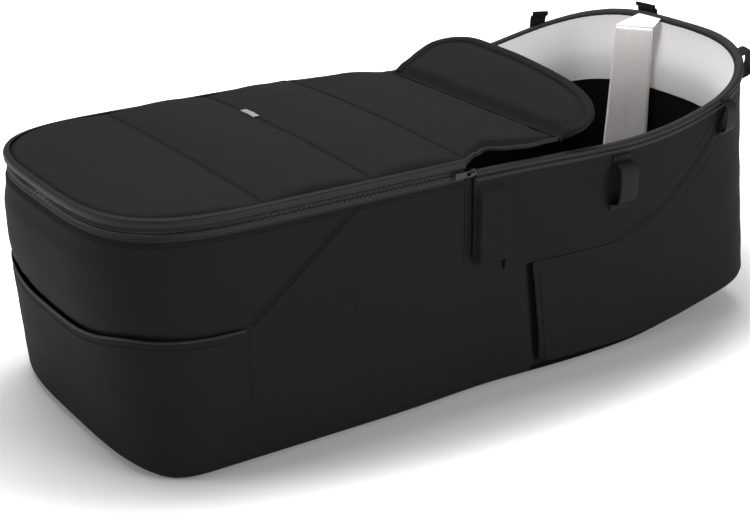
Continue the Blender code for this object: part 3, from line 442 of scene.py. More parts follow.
def quilt_top(x, y, sizes):
    """Return the height of the apron's top: crowned, full between seams, tucked at its edge."""
    margin = quilt_margin(x, y)
    side = 1.0 - min(2.0 * abs(y) / RIM_WIDTH, 1.0) ** 2.6
    crown = sizes.quilt_crown * side * ease(margin / (20 * MM))
    crown *= ease((x - CROWN_START) / CROWN_RUN_IN)
    crown *= 1.0 - ease((x - CROWN_END) / CROWN_RUN_OUT)
    near_seam = min(abs(x - s) for s in SEAMS)
    pucker = 1.0 * MM * bump(near_seam, 15 * MM) * ripple(x * 0.25, y, 0.0, 0.014, 3.0)
    wave = 1.2 * MM * ripple(x, y, 0.0, 0.06, 1.5) * quilt_puff(x)
    full = sizes.quilt_puff * quilt_puff(x) + pucker + wave
    tuck = 3.0 * MM * (1.0 - ease(margin / (5 * MM))) + 2.0 * MM * bump(x - FOLD, 3 * MM)
    return QUILT_SIDE_TOP - tuck + crown + full * ease(margin / (11 * MM)) ** 0.6


# Names of the materials
OXFORD = "Polyester oxford, woven"
QUILTED_OXFORD = "Polyester oxford, quilted"
GROSGRAIN = "Polyester grosgrain, ribbed"
WEBBING = "Polypropylene webbing, woven"
PALE_JERSEY = "Brushed jersey, pale"
STAY_JERSEY_SHADED = "Brushed jersey, stay"
TAFFETA = "Taffeta lining, dark"
KNIT = "Knitted cover, dark"
RIBBON = "Label ribbon, woven"
THREAD = "Sewing thread, polyester"
NYLON = "Nylon zip teeth, moulded"
ZINC = "Zinc alloy, nickel plated"
BOARD = "Polypropylene board, moulded"
PAPER = "Studio paper, matt"


# Mesh helpers

UP = Vector((0.0, 0.0, 1.0))


def shares(count, ends=0.0, extra=()):
    """Return shares from 0 to 1, closer together near both ends and with extra ones between."""
    even = [i / count for i in range(count + 1)]
    bent = [mix(v, 0.5 - 0.5 * math.cos(math.pi * v), ends) for v in even]
    return sorted(set(bent) | set(extra))


def slab(us, vs, place, size=(1.0, 1.0), ring=False):
    """Return a closed bmesh over a grid of shares, moved to place(a, b, c), with UVs in metres."""
    bm = bmesh.new()
    bmesh.ops.create_grid(bm, x_segments=len(us) - 1, y_segments=len(vs) - 1, size=0.5)
    above = bmesh.ops.extrude_face_region(bm, geom=bm.faces[:])
    top = [item for item in above["geom"] if isinstance(item, bmesh.types.BMVert)]
    bmesh.ops.translate(bm, verts=top, vec=(0.0, 0.0, 1.0))
    for vert in bm.verts:
        vert.co.x = us[round((vert.co.x + 0.5) * (len(us) - 1))]
        vert.co.y = vs[round((vert.co.y + 0.5) * (len(vs) - 1))]
    if ring:
        caps = [f for f in bm.faces if len({round(v.co.x, 6) for v in f.verts}) == 1]
        bmesh.ops.delete(bm, geom=caps, context="FACES_ONLY")
    uvs = bm.loops.layers.uv.new("Cloth")
    for face in bm.faces:
        for loop in face.loops:
            co = loop.vert.co
            loop[uvs].uv = (co.x * size[0], co.y * size[1])
    for vert in bm.verts:
        vert.co = place(vert.co.x, vert.co.y, vert.co.z)
    if ring:
        bmesh.ops.remove_doubles(bm, verts=bm.verts, dist=0.00001)
    bm.normal_update()
    bmesh.ops.recalc_face_normals(bm, faces=bm.faces)
    return bm


def tube(points, across, over, sides=10, closed=False):
    """Return a bmesh tube through points, with half sizes across and up, capped if open."""
    bm = bmesh.new()
    count = len(points)
    bmesh.ops.create_grid(bm, x_segments=count if closed else count - 1, y_segments=sides, size=0.5)
    uvs = bm.loops.layers.uv.new("Cloth")
    lengths = [0.0]
    for first, second in zip(points, points[1:] + points[:1]):
        lengths.append(lengths[-1] + (second - first).length)
    rows = count if closed else count - 1
    for vert in bm.verts:
        vert.co.x = round((vert.co.x + 0.5) * rows)
        vert.co.y = round((vert.co.y + 0.5) * sides)
    for face in bm.faces:
        for loop in face.loops:
            co = loop.vert.co
            loop[uvs].uv = (lengths[round(co.x)], co.y / sides * 2 * math.pi * across)
    for vert in bm.verts:
        i = round(vert.co.x)
        here = points[i % count]
        if closed:
            along = points[(i + 1) % count] - points[(i - 1) % count]
        else:
            along = points[min(i + 1, count - 1)] - points[max(i - 1, 0)]
        side = along.cross(UP).normalized()
        top = side.cross(along).normalized()
        turn = 2 * math.pi * vert.co.y / sides
        vert.co = here + side * across * math.cos(turn) + top * over * math.sin(turn)
    bmesh.ops.remove_doubles(bm, verts=bm.verts, dist=0.000005)
    if not closed:
        open_edges = [e for e in bm.edges if e.is_boundary]
        bmesh.ops.holes_fill(bm, edges=open_edges, sides=0)
    bm.normal_update()
    bmesh.ops.recalc_face_normals(bm, faces=bm.faces)
    return bm


def stacked(rings):
    """Return a closed bmesh through level rings, cut across where the head's floor rises."""
    bm = bmesh.new()
    last = []
    for ring in rings:
        verts = [bm.verts.new(point) for point in ring]
        edges = [bm.edges.new(pair) for pair in zip(verts, verts[1:] + verts[:1])]
        if last:
            bmesh.ops.bridge_loops(bm, edges=last + edges)
        last = edges
    bmesh.ops.holes_fill(bm, edges=[e for e in bm.edges if e.is_boundary], sides=0)
    for step in range(14):
        parts = bm.verts[:] + bm.edges[:] + bm.faces[:]
        start = (LIFT_START - 0.04 + 0.016 * step, 0.0, 0.0)
        bmesh.ops.bisect_plane(bm, geom=parts, plane_co=start, plane_no=(1.0, 0.0, 0.0))
    bm.normal_update()
    bmesh.ops.recalc_face_normals(bm, faces=bm.faces)
    return bm


def stitches(bm, points, outs, pitch, length=2.4 * MM, thread=0.55 * MM):
    """Add a row of sewn thread to a bmesh, along points, raised along outs."""
    travel = 0.0
    for i in range(len(points) - 1):
        step = points[i + 1] - points[i]
        run = step.length
        while travel < run:
            share = travel / run
            here = points[i] + step * share
            out = outs[i].lerp(outs[i + 1], share).normalized()
            along = step.normalized()
            side = along.cross(out).normalized()
            basis = Matrix((along * length, side * thread, out * thread)).transposed().to_4x4()
            made = bmesh.ops.create_cube(bm, size=1.0, matrix=Matrix.Translation(here) @ basis)
            ends = [v for v in made["verts"] if (v.co - here).dot(out) > 0]
            for vert in ends:
                vert.co -= along * (vert.co - here).dot(along) * 0.35
            travel += pitch
        travel -= run


def finish(name, bm, material, body, replaced=(), smooth=True):
    """Make an object of a bmesh, with its material, that rides on a body and replaces nodes."""
    mesh = bpy.data.meshes.new(name)
    bow = bpy.context.scene.carrycot_sizes.side_bow
    for vert in bm.verts:
        vert.co = settled(vert.co, bow)
    bm.to_mesh(mesh)
    bm.free()
    if smooth:
        mesh.shade_smooth()
        mesh.set_sharp_from_angle(angle=math.radians(42))
    made = bpy.data.objects.new(name, mesh)
    made.data.materials.append(bpy.data.materials[material])
    bpy.context.collection.objects.link(made)
    if replaced:
        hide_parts(*replaced)
    if body:
        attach(made, body)
    return made


def sew(name, seams, body="tub", **gauge):
    """Make a piece of sewn thread from seams, each of points and the directions out of them."""
    gauge.setdefault("pitch", bpy.context.scene.carrycot_sizes.stitch_pitch)
    rows = bmesh.new()
    for points, outs in seams:
        stitches(rows, points, outs, **gauge)
    return finish(name, rows, THREAD, body, smooth=False)


def refinish(node, material):
    """Give one of the frame's own solids a finish."""
    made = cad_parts[node]
    made.data.materials.clear()
    made.data.materials.append(bpy.data.materials[material])


# Materials


def add_node(tree, kind, inputs=None, settings=None, links=None):
    """Add a shader node with its input values, its settings and the sockets linked to it."""
    made = tree.nodes.new(kind)
    for key, value in (settings or {}).items():
        setattr(made, key, value)
    for key, value in (inputs or {}).items():
        made.inputs[key].default_value = value
    for key, socket in (links or {}).items():
        tree.links.new(socket, made.inputs[key])
    return made


def new_material(name):
    """Return an empty material's node tree and its Principled BSDF."""
    made = bpy.data.materials.new(name)
    made.use_nodes = True
    return made.node_tree, made.node_tree.nodes["Principled BSDF"]


def noise_node(tree, coords, scale, detail):
    """Add a noise texture and return its value's socket."""
    return add_node(tree, "ShaderNodeTexNoise", {"Scale": scale, "Detail": detail}, None,
                    {"Vector": coords}).outputs["Fac"]


def add_relief(tree, shader, height, strength, distance):
    """Give a shader a bump from a height socket."""
    made = add_node(tree, "ShaderNodeBump", {"Strength": strength, "Distance": distance}, None,
                    {"Height": height})
    tree.links.new(made.outputs["Normal"], shader.inputs["Normal"])


def cloth(name, look, thread, mottle=0.10, relief=0.25, sheen=0.0, rib=False, flat_map=False):
    """Make a woven cloth: threads of a real spacing, soft mottling and a little sheen.

    flat_map takes the pattern from above, for padded pieces that have no UV map.
    """
    tree, shader = new_material(name)
    coords = add_node(tree, "ShaderNodeTexCoord").outputs["Object" if flat_map else "UV"]
    bands = [add_node(tree, "ShaderNodeTexWave",
                      {"Scale": 0.314 / thread, "Distortion": 0.6, "Detail": 1.0},
                      {"bands_direction": way}, {"Vector": coords}).outputs["Fac"] for way in "XY"]
    threads = add_node(tree, "ShaderNodeMath", {1: 0.0} if rib else None,
                       {"operation": "ADD" if rib else "MULTIPLY"},
                       {0: bands[0]} if rib else {0: bands[0], 1: bands[1]})
    cloud = noise_node(tree, coords, 14.0, 3.0)
    fuzz = noise_node(tree, coords, 900.0, 2.0)
    shade = add_node(tree, "ShaderNodeMath", {1: 0.5}, {"operation": "MULTIPLY_ADD"},
                     {0: cloud, 2: threads.outputs[0]})
    dark = [c * (1.0 - mottle) for c in look[:3]] + [1.0]
    light = [min(c * (1.0 + mottle), 1.0) for c in look[:3]] + [1.0]
    colour = add_node(tree, "ShaderNodeMix", {"A": dark, "B": light}, {"data_type": "RGBA"},
                      {"Factor": shade.outputs[0]})
    tree.links.new(colour.outputs["Result"], shader.inputs["Base Color"])
    height = add_node(tree, "ShaderNodeMath", {1: 0.35}, {"operation": "MULTIPLY_ADD"},
                      {0: fuzz, 2: threads.outputs[0]})
    add_relief(tree, shader, height.outputs[0], relief, thread * 0.35)
    shader.inputs["Roughness"].default_value = 0.82
    shader.inputs["Sheen Weight"].default_value = sheen
    shader.inputs["Sheen Roughness"].default_value = 0.45
    shader.inputs["Specular IOR Level"].default_value = 0.12
    return shader


def moulded(name, look, roughness, metallic=0.0, relief=0.1):
    """Make a moulded or plated finish with a fine cast grain."""
    tree, shader = new_material(name)
    coords = add_node(tree, "ShaderNodeTexCoord").outputs["Object"]
    grain = noise_node(tree, coords, 1400.0, 3.0)
    rough = add_node(tree, "ShaderNodeMapRange", {3: roughness - 0.08, 4: roughness + 0.1}, None,
                     {0: noise_node(tree, coords, 160.0, 4.0)})
    tree.links.new(rough.outputs[0], shader.inputs["Roughness"])
    add_relief(tree, shader, grain, relief, 0.0001)
    shader.inputs["Base Color"].default_value = look
    shader.inputs["Metallic"].default_value = metallic
    return shader


# User settings


class CarrycotSizes(bpy.types.PropertyGroup):
    """Sizes of the cloth that a user may change."""

    quilt_puff: bpy.props.FloatProperty(
        name="Quilt fullness", description="How far the apron's channels rise between their seams",
        default=0.0050, min=0.0, max=0.009, unit="LENGTH")
    quilt_crown: bpy.props.FloatProperty(
        name="Apron crown", description="How far the apron's middle rises above its edge",
        default=0.0050, min=0.0, max=0.008, unit="LENGTH")
    side_bow: bpy.props.FloatProperty(
        name="Side bow", description="How far the open sides bulge at the rim",
        default=0.0105, min=0.0, max=0.012, unit="LENGTH")
    cloth_waves: bpy.props.FloatProperty(
        name="Cloth waves", description="Height of the soft waves in the tub's cloth",
        default=0.0012, min=0.0, max=0.002, unit="LENGTH")
    stitch_pitch: bpy.props.FloatProperty(
        name="Stitch pitch", description="Distance from one stitch to the next",
        default=0.0034, min=0.002, max=0.006, unit="LENGTH")
    camera_lens: bpy.props.FloatProperty(
        name="Lens", description="Focal length of the stage's camera",
        default=77.896, min=20.0, max=200.0, unit="CAMERA")


def colour_setting(name, words, code):
    """Return a colour property with a name, a description and a default from a hex value."""
    return bpy.props.FloatVectorProperty(name=name, description=words, subtype="COLOR", size=4,
                                         min=0.0, max=1.0, default=linear(code))


class CarrycotColours(bpy.types.PropertyGroup):
    """Colours of the cloth and fittings that a user may change."""

    shell: colour_setting("Shell", "Colour of the outer cloth", "#141415")
    binding: colour_setting("Binding", "Colour of the bindings and piping", "#121213")
    webbing: colour_setting("Webbing", "Colour of the woven loops", "#101011")
    pale: colour_setting("Pale lining", "Colour of the upper lining and the stay", "#e9e8e7")
    # The stay's colour is painted shade: a warmer copy of the pale jersey's colour, for the stay in
    # the head end
    stay: colour_setting("Stay", "Colour of the padded stay", "#ece7e5")
    dark: colour_setting("Dark lining", "Colour of the lower lining", "#0b0a0a")
    mattress: colour_setting("Mattress", "Colour of the mattress cover", "#0d0b0b")
    metal: colour_setting("Zip metal", "Colour of the sliders and pullers", "#333335")
    tag: colour_setting("Tag", "Colour of the blank tag", "#8d8d90")


# Operators


class CARRYCOT_OT_materials(bpy.types.Operator):
    """Make the cloths, webbing, plastic and metal of the carrycot"""

    bl_idname = "carrycot.materials"
    bl_label = "Materials"

    def execute(self, context):
        looks = context.scene.carrycot_colours
        # Polyester oxford, plain woven: matt black with a faint grain of crossing threads
        cloth(OXFORD, looks.shell[:], 1.3 * MM)
        # The same oxford where it is padded and quilted: the pattern runs straight across it
        cloth(QUILTED_OXFORD, looks.shell[:], 1.3 * MM, flat_map=True)
        # Polyester grosgrain, ribbed: a tight rib across the tape, a little glossier
        shader = cloth(GROSGRAIN, looks.binding[:], 1.6 * MM, rib=True)
        shader.inputs["Roughness"].default_value = 0.58
        shader.inputs["Specular IOR Level"].default_value = 0.2
        # Polypropylene webbing, woven: coarse herringbone-like rib, almost black
        shader = cloth(WEBBING, looks.webbing[:], 2.0 * MM, relief=0.6)
        shader.inputs["Roughness"].default_value = 0.58
        # Spacer jersey, brushed: pale grey, soft and matt with a fine knit
        cloth(PALE_JERSEY, looks.pale[:], 2.0 * MM, mottle=0.03, relief=0.12, sheen=0.1)
        # The same jersey over the stay's padding, a little warmer and darker: a shaded copy of the
        # pale jersey, whose colour is painted shade on the stay
        cloth(STAY_JERSEY_SHADED, looks.stay[:], 2.0 * MM, mottle=0.03, relief=0.12, sheen=0.1)
        # Taffeta lining, woven: flat dark cloth inside the tub
        cloth(TAFFETA, looks.dark[:], 1.2 * MM, mottle=0.12)
        # Knitted mattress cover: dark jersey with a visible stitch
        cloth(KNIT, looks.mattress[:], 2.4 * MM, mottle=0.15, relief=0.4, flat_map=True)
        # Woven label ribbon: pale satin with fine cross threads, left blank
        cloth(RIBBON, looks.tag[:], 0.8 * MM, mottle=0.05)
        # Polyester sewing thread: twisted and slightly glossy
        shader = moulded(THREAD, linear("#0d0d0e"), 0.8)
        shader.inputs["Specular IOR Level"].default_value = 0.15
        # Nylon zip teeth, moulded: satin black
        moulded(NYLON, linear("#0d0d0e"), 0.38)
        # Zinc alloy, nickel plated: grey and glossy, with small bright glints
        moulded(ZINC, looks.metal[:], 0.28, metallic=1.0)
        # Polypropylene board, moulded: matt dark grey
        moulded(BOARD, linear("#37373a"), 0.6)
        return {"FINISHED"}


class CARRYCOT_OT_walls(bpy.types.Operator):
    """Make the padded wall of the tub, with its seams and the recess behind the pockets"""

    bl_idname = "carrycot.walls"
    bl_label = "Tub walls"

    def execute(self, context):
        waves = context.scene.carrycot_sizes.cloth_waves
        counts = (46, 14, 3, 6, 3, 16, 10, 40)
        half = []
        for index, count in enumerate(counts):
            half += [index + i / count for i in range(count)]
        half += [0.982, 0.991, 0.996, 1.012, 1.03, 7.01, 6.98]
        half = sorted(set(half)) + [float(HALF_STOPS)]
        whole = half + [2 * HALF_STOPS - s for s in reversed(half[:-1])]
        us = [s / (2 * HALF_STOPS) for s in whole]

        def recess(s, x, z):
            if s <= 1.0:
                share = 1.0 - s
                behind = 1.0 - ease((z - mouth_height(share) + 2 * MM) / (11 * MM))
                return mix(FACE_INSET, RECESS, behind * ease(share * 30.0))
            if s >= 4.0:
                along = ease((x - pocket_edge(z) + RECESS_FADE) / RECESS_FADE)
                above = ease((z - yoke_edge(x) - 4 * MM) / (14 * MM))
                fade = 1.0 - ease((s - 6.2) / 0.8)
                return mix(FACE_INSET, RECESS, along * (1.0 - above) * fade)
            return FACE_INSET

        def place(a, b, c):
            s = a * 2 * HALF_STOPS
            near = near_stop(s)
            top = crest(lambda h: round_point(s, h, FACE_INSET).x, wall_top)
            z = mix(WALL_BOTTOM, top, b)
            if c > 0.5:
                thin = lining_inset(rim_height(round_point(s, z, 0.0).x) - z)
                inset = WALL_BACK - (WALL - thin)
            else:
                flat = round_point(s, z, FACE_INSET)
                inset = recess(near, flat.x, z)
                edge = inside(b, 12.0)
                quiet = 1.0 - 0.75 * ease((inset - FACE_INSET) / (3 * MM))
                wave = ripple(flat.x, flat.y, z, 0.11) + 0.5 * ripple(flat.x, flat.y, z, 0.045, 3.0)
                inset += waves * edge * quiet * (0.35 + wave)
                inset += 1.3 * MM * bump(flat.x - seam_x(z), 2.4 * MM) * ease(b * 20.0)
            return raised(round_point(s, z, inset), z)

        bm = slab(us, shares(44, 0.3), place, (2.1, 0.24), ring=True)
        wall = finish("tub_wall", bm, OXFORD, "tub", (
            "foot_panel", "head_panel", "near_side_panel", "far_side_panel", "foot_foam",
            "head_foam", "near_side_foam", "far_side_foam"))
        seams = []
        for sign in (1.0, -1.0):
            for shift in (-4.2 * MM, 4.2 * MM):
                points = []
                for i in range(40):
                    z = mix(MOUTH_END + 4 * MM, FOOT_RIM_HEIGHT - ZIP_STAND - 2 * MM, i / 39)
                    x = seam_x(z) + shift
                    y = side_y(x, z, FACE_INSET + waves * 0.35 - 0.2 * MM)
                    points.append(Vector((x, y * sign, z)))
                seams.append((points, [Vector((-0.25, -sign, 0.1)).normalized()] * 40))
            for x in HUB_SEAM_PLACES:
                points = [Vector((x, sign * side_y(x, z, FACE_INSET - 0.2 * MM), z))
                          for z in [mix(HUB_SEAM_LOW, HUB_SEAM_HIGH, i / 30) for i in range(31)]]
                seams.append((points, [Vector((0.0, -sign, 0.0))] * 31))
        sew("wall_stitches", seams)
        return {"FINISHED"}


class CARRYCOT_OT_floor(bpy.types.Operator):
    """Make the floor cloth with its welted edge"""

    bl_idname = "carrycot.floor"
    bl_label = "Floor cloth"

    def execute(self, context):
        # The welt's outline, from under the floor over its edge: inset and height in millimetres
        welt = ((0.0, 0.0), (1.1, 0.0), (0.45, 0.45), (0.0, 1.35), (0.45, 2.25), (1.1, 2.7),
                (9.0, 2.7))
        bm = stacked([raised(round_point(s, WALL_BOTTOM, inset * MM), z * MM) for s in stops(160)]
                     for inset, z in welt)
        uvs = bm.loops.layers.uv.new("Cloth")
        for face in bm.faces:
            for loop in face.loops:
                loop[uvs].uv = (loop.vert.co.x, loop.vert.co.y)
        finish("floor_cloth_welted", bm, OXFORD, "tub", ("floor_cloth",))
        refinish("base_board", BOARD)
        return {"FINISHED"}


class CARRYCOT_OT_linings(bpy.types.Operator):
    """Make the pale upper lining and the dark lower lining"""

    bl_idname = "carrycot.linings"
    bl_label = "Linings"

    def execute(self, context):
        def top(s, inset):
            return crest(lambda z: round_point(s, z, inset).x, wall_top)

        def lining(s, z, flat, c, swell):
            base = lining_inset(rim_height(flat.x) - z)
            return raised(round_point(s, z, base + swell if c > 0.5 else base - LINING_CLOTH), z)

        us = [i / 300 for i in range(301)]

        def upper_place(a, b, c):
            s = a * 2 * HALF_STOPS
            z = mix(top(s, WALL) - UPPER_LINING_HEIGHT, top(s, RIM_LINING), b)
            flat = round_point(s, z, WALL)
            wave = ripple(flat.x, flat.y, z * 0.4, 0.09, 5.0) * 0.5 * MM
            tuck = 0.8 * MM * bump(flat.x - LINING_TUCK_X, 1.6 * MM)
            soft = ease(b * 8.0) * ease((1.0 - b) * 6.0)
            return lining(s, z, flat, c, (wave + 0.8 * MM - tuck) * soft)

        def lower_place(a, b, c):
            s = a * 2 * HALF_STOPS
            z = mix(WALL_BOTTOM, top(s, WALL) - UPPER_LINING_HEIGHT - GAP, b)
            flat = round_point(s, z, WALL)
            wave = ripple(flat.x, flat.y, z * 0.6, 0.08, 9.0) * 1.0 * MM
            return lining(s, z, flat, c, (wave + 0.6 * MM) * inside(b, 10.0))

        bm = slab(us, shares(14, 0.6), upper_place, (2.0, 0.077), ring=True)
        upper = finish("upper_lining_pale", bm, PALE_JERSEY, "tub", ("upper_lining",))
        bm = slab(us, shares(16, 0.4), lower_place, (2.0, 0.16), ring=True)
        lower = finish("lower_lining_dark", bm, TAFFETA, "tub", ("lower_lining",))
        points = []
        for s in stops(240):
            z = top(s, WALL) - UPPER_LINING_HEIGHT
            points.append(raised(round_point(s, z, WALL + 0.4 * MM), z))
        seam = tube(points, 0.8 * MM, 0.9 * MM, closed=True)
        finish("lining_seam", seam, TAFFETA, "tub")
        return {"FINISHED"}


class CARRYCOT_OT_mattress(bpy.types.Operator):
    """Make the mattress: a stuffed pad with a crown and a piped edge"""

    bl_idname = "carrycot.mattress"
    bl_label = "Mattress"

    def execute(self, context):
        # The pad's outline, from under it up to its crown: reach and height as shares
        rows = ((0.96, 0.0), (0.99, 0.12), (1.0, 0.45), (0.99, 0.78), (0.955, 0.93), (0.88, 0.975),
                (0.7, 0.985), (0.45, 1.0), (0.2, 1.0))

        def ring(reach, height, count):
            z = mix(MATTRESS_LOW, MATTRESS_HIGH, height)
            return [raised(round_point(s, z, WALL + 5 * MM) * reach, z) for s in stops(count)]

        bm = stacked(ring(reach, height, 96) for reach, height in rows)
        made = finish("mattress_padded", bm, KNIT, "tub", ("mattress",))
        modifier = made.modifiers.new("Soft form", "SUBSURF")
        modifier.levels = modifier.render_levels = 1
        finish("mattress_piping", tube(ring(0.985, 0.84, 200), 1.6 * MM, 1.6 * MM, closed=True),
               KNIT, "tub")
        return {"FINISHED"}


class CARRYCOT_OT_foot_pocket(bpy.types.Operator):
    """Make the pocket that wraps the foot end, with its bound lip"""

    bl_idname = "carrycot.foot_pocket"
    bl_label = "Foot pocket"

    def execute(self, context):
        waves = context.scene.carrycot_sizes.cloth_waves

        def outer(share):
            return mix(FACE_INSET - 0.6 * MM, -2.0 * MM, ease(share / 0.5))

        def wrapped(a, z, inset):
            return raised(wrap_point(a, z, inset, POCKET_END - GAP, False), z)

        def place(a, b, c):
            share = to_middle(a)
            z = mix(WALL_BOTTOM, mouth_height(share), b)
            flat = wrap_point(a, z, 0.0, POCKET_END - GAP, False)
            wave = ripple(flat.x, flat.y, z, 0.07, 2.0) + 0.4 * ripple(flat.x, flat.y, z, 0.03, 7.0)
            edge = inside(b, 8.0) * ease(share * 10.0)
            inset = outer(share) + waves * edge * (0.3 + wave)
            inset += 1.2 * MM * ease((b - 0.8) / 0.2) * ease(share * 4.0) * 0.5
            return wrapped(a, z, inset + HEAVY_CLOTH * c)

        bm = slab(shares(150), shares(34, 0.5), place, (0.9, 0.13))
        pocket = finish("foot_pocket_cloth", bm, OXFORD, "tub", ("foot_pocket",))
        points, thread, outs = [], [], []
        for i in range(151):
            a = i / 150
            share = to_middle(a)
            z = mouth_height(share)
            inset = outer(share) + 1.2 * MM + 0.6 * MM * ease(share * 4.0)
            points.append(wrapped(a, z + 1.2 * MM, inset))
            thread.append(wrapped(a, z - 5.5 * MM, outer(share) - 0.1 * MM))
            outs.append(wrap_out(a, -1.0))
        lip = finish("foot_pocket_lip_bound", tube(points, 1.3 * MM, 1.9 * MM), GROSGRAIN, "tub",
                     ("foot_pocket_lip",))
        sewn = sew("foot_pocket_stitches", [(thread, outs)])
        return {"FINISHED"}


class CARRYCOT_OT_head_cloth(bpy.types.Operator):
    """Make the cloth that wraps the head end and forms both side pockets"""

    bl_idname = "carrycot.head_cloth"
    bl_label = "Head cloth and side pockets"

    def execute(self, context):
        waves = context.scene.carrycot_sizes.cloth_waves
        half = [5.0, 5.006, 5.015, 5.03] + [5.0 + i / 22 for i in range(1, 22)]
        half += [6.0 + i / 8 for i in range(8)] + [7.0 + i / 44 for i in range(45)]
        span = [s - 5.0 for s in half] + [2 * HALF_STOPS - s - 5.0 for s in reversed(half[:-1])]
        us = [s / 6.0 for s in span]

        def top_at(x):
            under_yoke = yoke_edge(x) - 0.7 * MM
            return min(under_yoke, rim_height(x) - BINDING_LEG + 5 * MM)

        def place(a, b, c):
            s = 5.0 + a * 6.0
            near = near_stop(s)
            top = crest(lambda h: round_point(s, h, 0.0).x, top_at)
            slope = 1.0 - ease((near - 5.0) / 1.7)
            low = WALL_BOTTOM + 9 * MM * slope + 5 * MM * (1.0 - ease((near - 5.0) / 0.09))
            z = mix(low, top, b)
            flat = round_point(s, z, 0.0)
            at_edge = 1.0 - ease((near - 5.0) / 0.42)
            swell = at_edge * ease(b * 3.0 + 0.3) * ease((1.0 - b) * 3.5 + 0.15)
            wave = ripple(flat.x, flat.y, z, 0.09, 4.0)
            wave += 0.5 * ripple(flat.x, flat.y, z, 0.035, 8.0)
            inset = -2.2 * MM * swell + waves * inside(b, 9.0) * (0.3 + wave)
            away = (yoke_edge(flat.x) - z) / GATHER_WIDTH
            folds = ease((abs(flat.x) - HEAD_GATHER_START) / GATHER_LENGTH)
            folds *= 1.0 - ease((near - 7.2) / 0.5)
            folds *= math.cos(away * 6.0) * bump(away, 1.4) * ease((1.0 - b) * 14.0)
            hem = quarter(near - 5.0, 0.012)
            inset += GATHER_DEPTH * folds
            inset += mix(0.8 * MM, 0.0, hem)
            thick = mix(0.3 * MM, 1.7 * MM, hem)
            return raised(round_point(s, z, inset + thick * c), z)

        bm = slab(us, shares(40, 0.4), place, (1.2, 0.2))
        head = finish("head_cloth", bm, OXFORD, "tub", ("near_side_pocket", "far_side_pocket"))
        seams = []
        for sign in (1.0, -1.0):
            points = []
            for i in range(24):
                b = i / 23
                z = mix(8 * MM, YOKE_HEIGHT - 4 * MM, b)
                x = pocket_edge(z) + 6.5 * MM
                y = side_y(x, z, -2.3 * MM * ease(b * 3.0 + 0.3) * ease((1 - b) * 3.5 + 0.15))
                points.append(Vector((x, y * sign, z)))
            seams.append((points, [Vector((0.0, -sign, 0.0))] * 24))
        sewn = sew("side_pocket_stitches", seams)
        return {"FINISHED"}


class CARRYCOT_OT_yokes(bpy.types.Operator):
    """Make the upper side panels, from the hub flap to the head corner"""

    bl_idname = "carrycot.yokes"
    bl_label = "Yokes"

    def execute(self, context):
        for side, sign in SIDES:
            def place(a, b, c):
                x = mix(YOKE_START, YOKE_TIP, a)
                z = mix(yoke_edge(x), rim_height(x) - BINDING_LEG + 4 * MM, b)
                hem = quarter(b, 0.03)
                wave = 0.5 * MM * ripple(x, sign, z, 0.06, 6.0) * inside(b, 6.0)
                away = (z - yoke_edge(x)) / GATHER_WIDTH
                proud = mix(1.3 * MM, 0.2 * MM, ease((x - YOKE_SINK_START) / YOKE_SINK_LENGTH))
                folds = GATHER_DEPTH * ease((x - YOKE_GATHER_START) / GATHER_LENGTH)
                folds *= math.cos(away * 6.0)
                folds *= bump(away, 1.4)
                inset = mix(0.2 * MM, -proud, hem) + wave - folds * ease(b * 12.0)
                return Vector((x, sign * side_y(x, z, inset + mix(0.4 * MM, 1.9 * MM, hem) * c), z))

            vs = shares(20, 0.3, (0.006, 0.015, 0.03))
            bm = slab(shares(80), vs, place, (0.292, 0.11))
            yoke = finish(side + "_yoke_cloth", bm, OXFORD, "tub", (side + "_yoke",))
            seams = []
            for rise in (3.5 * MM, 7.5 * MM):
                points = []
                for i in range(90):
                    x = mix(YOKE_START + 3 * MM, YOKE_SEAM_END, i / 89)
                    z = yoke_edge(x) + rise
                    points.append(Vector((x, sign * side_y(x, z, -1.3 * MM), z)))
                seams.append((points, [Vector((0.1, -sign, 0.0)).normalized()] * 90))
            sewn = sew(side + "_yoke_stitches", seams)
        return {"FINISHED"}


class CARRYCOT_OT_hub_flaps(bpy.types.Operator):
    """Make the flaps over the frame's hubs, open at their foot"""

    bl_idname = "carrycot.hub_flaps"
    bl_label = "Hub flaps"

    def execute(self, context):
        top = FOOT_RIM_HEIGHT - 12 * MM
        for side, sign in SIDES:
            def place(a, b, c):
                x = HUB_X + 2 * HUB_HALF * (a - 0.5)
                edge = min(a, 1.0 - a) * 2 * HUB_HALF / HUB_FLAP_CORNER
                corner = HUB_FLAP_CORNER * (1.0 - ease(edge))
                z = mix(HUB_FLAP_LOW + corner, top + 6 * MM, b)
                roof = (top - z) / (14 * MM)
                stand = HUB_FLAP_STAND * ease(edge * 1.2) * ease(roof)
                fold = 1.4 * MM * bump(b - 0.14, 0.05) * ease(edge)
                wave = 0.8 * MM * ripple(x, 0.0, z, 0.03, 1.0) * ease(edge) * ease(roof)
                inner = -0.2 * MM - stand - fold - wave
                round_off = 1.0 - 0.7 * bump(b, 0.012)
                return Vector((x, sign * side_y(x, z, inner - HEAVY_CLOTH * c * round_off), z))

            bm = slab(shares(30, 0.3), shares(50, 0.2, (0.004, 0.01)), place, (0.0405, 0.09))
            flap = finish(side + "_hub_flap_cloth", bm, OXFORD, "tub", (side + "_hub_flap",))
        return {"FINISHED"}


